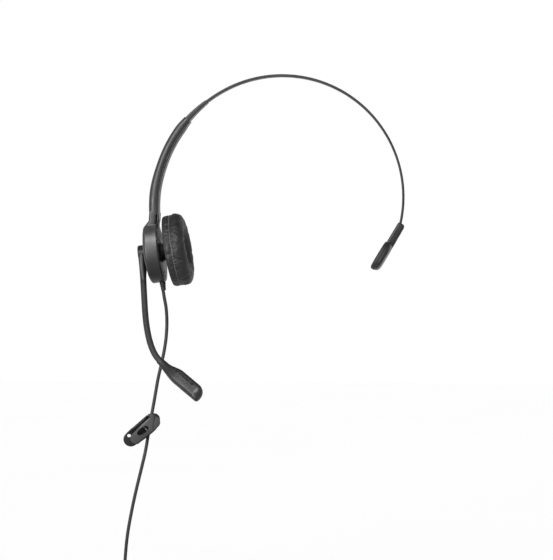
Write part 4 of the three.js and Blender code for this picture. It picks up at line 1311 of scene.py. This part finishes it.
def make_tie():
    """A rubber strap round the coil's bundle, with its buckle."""
    high, deep = COIL_ROWS * CORD_RADIUS, COIL_COLUMNS * CORD_RADIUS
    inner = rounded_rect(2 * high + 0.9, 2 * deep + 0.6, 1.2)
    outer = rounded_rect(2 * high + 2.4, 2 * deep + 2.1, 1.9)
    at = vec(COIL_CENTRE[0] + COIL_RADIUS, 0, COIL_CENTRE[2])
    sections = []
    for outline, z in ((inner, -1.85), (outer, -1.85), (outer, 1.85), (inner, 1.85)):
        sections.append(np.array([at + vec(x, y, z) for x, y in outline]))
    strap = skin(sections, loop=True)
    catch = extruded(rounded_rect(2.4, 4.6, 0.6) + vec(at[0] + high + 1.2, at[2]), -2.2, 2.2, 0.3, 3)
    tie = make("cord_strap", together(strap, catch))
    with_modifier(tie, "BEVEL", width=0.25 * MM, segments=3, limit_method="ANGLE")
    tidy_mesh(tie)
    return finish_piece(tie, "arm", rubber, "cord_tie")


def boxed(x, y, z, sx, sy, sz, edge=0.12):
    """A box about its centre, with softened edges."""
    left, right, low, high = x - sx / 2, x + sx / 2, z - sz / 2, z + sz / 2
    outline = soften([(left, low), (right, low), (right, high), (left, high)], edge, 2)
    return extruded(outline, y - sy / 2, y + sy / 2, edge, 2)


def make_plug():
    last = COIL_CENTRE[0] - COIL_RADIUS - (COIL_ROWS - 1) * CORD_RADIUS
    front = -(COIL_COLUMNS - 1) * CORD_RADIUS
    place = axes((last, front, PLUG_TOP), (1, 0, 0), (0, 1, 0), (0, 0, 1))
    width, deep, long = PLUG_SIZE
    contacts = [(i - (CONTACTS - 1) / 2) * CONTACT_PITCH for i in range(CONTACTS)]
    body = make("plug_housing", boxed(0, 0, -long / 2, width, deep, long, 0.3), place)
    rooms = [boxed(x, -deep / 2, -long + 3, 0.9, 5, 6.2, 0.04) for x in contacts]
    rooms.append(boxed(0, deep / 2, -long / 2 - 0.6, 4.2, 2.4, long - 2, 0.05))
    rooms.append(boxed(0, -deep / 2, -3.4, 5.4, 2.2, 2.2, 0.05))
    rooms.append(boxed(0, 0, -1, 3.4, 2.9, 5, 0.3))
    carve(body, *rooms, matrix=place)
    finish_piece(body, "arm", clear, "plug_body")
    bar = boxed(0, -deep / 2 + 0.3, -3.4, 4.8, 0.9, 1.6, 0.15)
    pieces = [body, add_piece("plug_cord_clamp", bar, place, "arm", clear, "plug_press_bar")]
    for i, x in enumerate(contacts):
        blade = boxed(x, -deep / 2 + 1.1, -long + 3, 0.3, 2, 3, 0.05)
        pieces.append(add_piece(f"plug_blade_{i + 1}", blade, place, "arm", brass, f"plug_contact_{i + 1}"))
    side = [(2.35, -11.2), (3.3, -11.3), (4.3, -6.4), (6.2, -1.4), (5.5, -1.2), (3.1, -5.8)]
    points, faces = extruded(soften(side, 0.3, 3), -1.6, 1.6, 0.15, 2)
    lever = (np.stack([-points[:, 1], points[:, 0], points[:, 2]], 1), faces)
    return [*pieces, add_piece("plug_lever", lever, place, "plug_latch", clear, "plug_latch")]


# ---- carried-over pieces


def dress_frame_pieces():
    """CAD nodes that stay in view get a finish of their own."""
    for node, finish in (("slider_block", dark_plastic), ("slider_rivet", steel), ("detent_leaf", steel)):
        obj = frame["nodes"][node]
        obj.data.materials.clear()
        obj.data.materials.append(finish[0])


# ---- build

make_camera()
lead = make_cord()
bush = make_strain_relief()
on_cord = [bush, make_tie(), *make_plug(), *make_clip()]
make_headband()
make_temple_bar()
make_arm()
make_cup()
make_speaker()
make_cushion()
make_stitching()
make_welt()
make_hub()
make_hub_fixings()
make_boom_tube()
make_mic_housing()
make_mic_capsule()
make_port_screen()
dress_frame_pieces()
headset = bpy.data.collections.new("headset")
casings = bpy.data.collections.new("casings")
for piece in bpy.context.scene.objects:
    if piece.type in {"MESH", "CURVE"}:
        headset.objects.link(piece)
    if piece.name.startswith("arm_"):
        casings.objects.link(piece)
make_studio(headset, casings)
make_floor()
